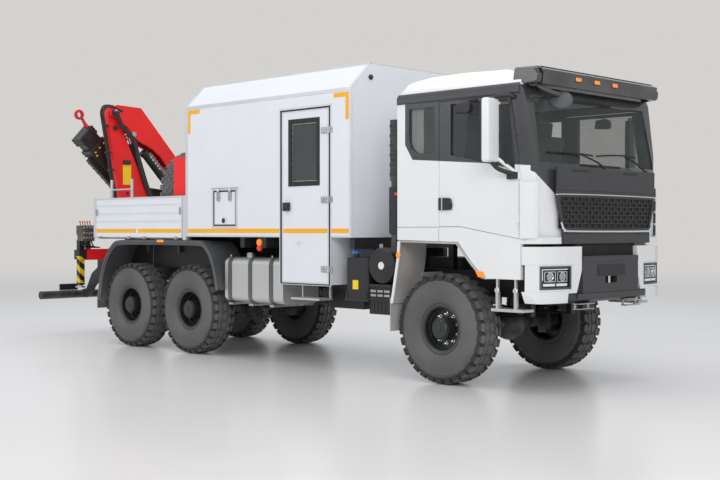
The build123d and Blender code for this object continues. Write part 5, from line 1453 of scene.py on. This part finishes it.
WHEEL_MIDDLE = (4320, 560, 2338)
WHEEL_TILT = math.radians(52)
WHEEL_RIM = 205
SEATS = {"right": -640, "left": 640}
CURTAIN_Y, CURTAIN_X = 1196, (3142, 3330)
CURTAIN_TOP, CURTAIN_HEM = 3126, 2585
FOLD_COLUMNS, FOLD_ROWS, FOLDS = 72, 24, 5.5


def cushion(name, centre, size, tilt=0.0, crown=18, material="seat"):
    """Stuffed block with rounded corners and a crown on its broad side."""
    bm = bmesh.new()
    bmesh.ops.create_cube(bm, size=2.0)
    bmesh.ops.subdivide_edges(bm, edges=bm.edges[:], cuts=11, use_grid_fill=True)
    half = [value / 2 for value in size]
    soft = min(half) * 0.55
    for vert in bm.verts:
        flat = Vector([c * h for c, h in zip(vert.co, half)])
        core = Vector([max(-h + soft, min(h - soft, v)) for v, h in zip(flat, half)])
        away = flat - core
        if away.length > 0:
            flat = core + away.normalized() * soft
        bulge = (1 - vert.co.x ** 2) * (1 - vert.co.y ** 2)
        flat.z += crown * bulge * vert.co.z
        stitch = math.exp(-((abs(vert.co.y) - 0.62) / 0.06) ** 2)
        flat.z -= 7 * stitch * vert.co.z
        vert.co = flat
    turn = Matrix.Translation(Vector(centre)) @ Matrix.Rotation(math.radians(tilt), 4, "Y")
    bmesh.ops.transform(bm, matrix=turn, verts=bm.verts)
    piece = make(name, bm, material, smooth=60)


def steering_wheel():
    x, y, z = WHEEL_MIDDLE
    sine, cosine = math.sin(WHEEL_TILT), math.cos(WHEEL_TILT)
    ring = []
    for index in range(33):
        turn = around(index, 32)
        ring.append(Vector((x + WHEEL_RIM * math.cos(turn) * sine, y + WHEEL_RIM * math.sin(turn),
                            z + WHEEL_RIM * math.cos(turn) * cosine)))
    pipes("steering_rim", [ring], 15, "black", curved=False)
    pipes("steering_spokes", [[ring[k], WHEEL_MIDDLE] for k in (2, 14, 16, 30)], 12, "black", curved=False)
    discs("steering_hub", [(WHEEL_MIDDLE, (-cosine, 0, sine), 62, 40)], "black", steps=24, edge=8)
    pipes("steering_column", [[(4330, 560, 2330), (4520, 560, 2180)]], 34, "black", curved=False)


def interior():
    dash = [(4500, 1950), (4520, 2330), (4560, 2392), (4640, 2420), (4780, 2420), (4800, 1950)]
    piece = prism("dashboard", dash, "y", -1080, 1080, "fender", bevel=22)
    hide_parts("cab_interior")
    vents = [(4514, 4524, y - 60, y + 60, 2230, 2280) for y in (-900, -560, -200, 200, 900)]
    boxes("dash_vents", vents, "seal", bevel=4)
    boxes("dash_screen", [(4512, 4522, -110, 110, 2080, 2210)], "mirror", bevel=4)
    steering_wheel()
    for hand, y in SEATS.items():
        boxes(f"seat_base_{hand}", [(3780, 4120, y - 180, y + 180, 1660, 2086)], "black", bevel=20)
        cushion(f"seat_cushion_{hand}", (3950, y, 2158), (500, 520, 150))
        cushion(f"seat_back_{hand}", (3700, y, 2540), (660, 500, 130), 98, 20)
        cushion(f"seat_head_{hand}", (3650, y, 2956), (180, 290, 90), 98, 10)
        posts = [[(3664, y + shift, 2850), (3652, y + shift, 2900)] for shift in (-60, 60)]
        pipes(f"seat_posts_{hand}", posts, 8, "chrome", curved=False)
    boxes("bunk_base", [(3022, 3420, -1100, 1100, 1660, 2030)], "inside", bevel=10)
    cushion("bunk_pad", (3225, 0, 2092), (390, 2180, 130), 0, 10)
    rails = [[(3130, side * CURTAIN_Y, 3128), (3560, side * CURTAIN_Y, 3128)] for side in (-1, 1)]
    for hand, side in SIDES.items():
        curtain(f"curtain_{hand}", side * CURTAIN_Y)
    pipes("curtain_rails", rails, 7, "machine", curved=False)
    boxes("rail_ends", [(x - 8, x + 8, *sided(side, CURTAIN_Y - 10, CURTAIN_Y + 10), 3118, 3140)
                        for x in (3132, 3558) for side in (-1, 1)], "machine", bevel=2)


def curtain(name, y):
    """Hanging cloth in even folds that loosen toward the hem."""
    bm = bmesh.new()
    x0, x1 = CURTAIN_X
    height = CURTAIN_TOP - CURTAIN_HEM
    grid = []
    for row in range(FOLD_ROWS + 1):
        share = row / FOLD_ROWS
        line = []
        for column in range(FOLD_COLUMNS + 1):
            across = column / FOLD_COLUMNS
            depth = (9 + 5 * share) * math.sin(across * 2 * math.pi * FOLDS + 0.35 * math.sin(share * 3))
            line.append(bm.verts.new((x0 + (x1 - x0) * across, y + depth, CURTAIN_TOP - height * share)))
        grid.append(line)
    for upper, lower in zip(grid, grid[1:]):
        for k in range(FOLD_COLUMNS):
            bm.faces.new((upper[k], upper[k + 1], lower[k + 1], lower[k]))
    piece = make(name, bm, "curtain", smooth=70)


world()
camera()
floor()
area_light("sky_panel", (1.0, -1.0, 12.0), (0, 0, 0), (16, 10), 680)
area_light("front_panel", (12.5, -9.5, 7.0), (1.5, 0, 1.4), (7, 5), 560, (1.0, 0.985, 0.96))
area_light("side_panel", (-5.5, -12.5, 7.5), (-1, 0, 1.8), (8, 5), 300, (0.95, 0.97, 1.0))
area_light("back_panel", (-9.0, 10.0, 7.0), (0, 0, 1.5), (8, 5), 220)
for node_name, (kind, edge, angle) in DRESSED.items():
    dressed(node_name, kind, edge, angle)
for kind, node_names in PAINTED.items():
    for node_name in node_names:
        paint(node_name, kind)
for build in (wheels, stripes, door_details, hatch_details, box_edges, platform_details, tank_details,
              cleaner_details, battery_details, brake_details, mask, grille_mesh, bumper_beam, fenders,
              spare_tread, interior, headlamps, nose, screen_edges, visor_details, cab_side_details, snorkel,
              crane_pins, column_details, boom_cylinder, crane_hoses, arm_end_details, valve_details,
              rear_details):
    build()
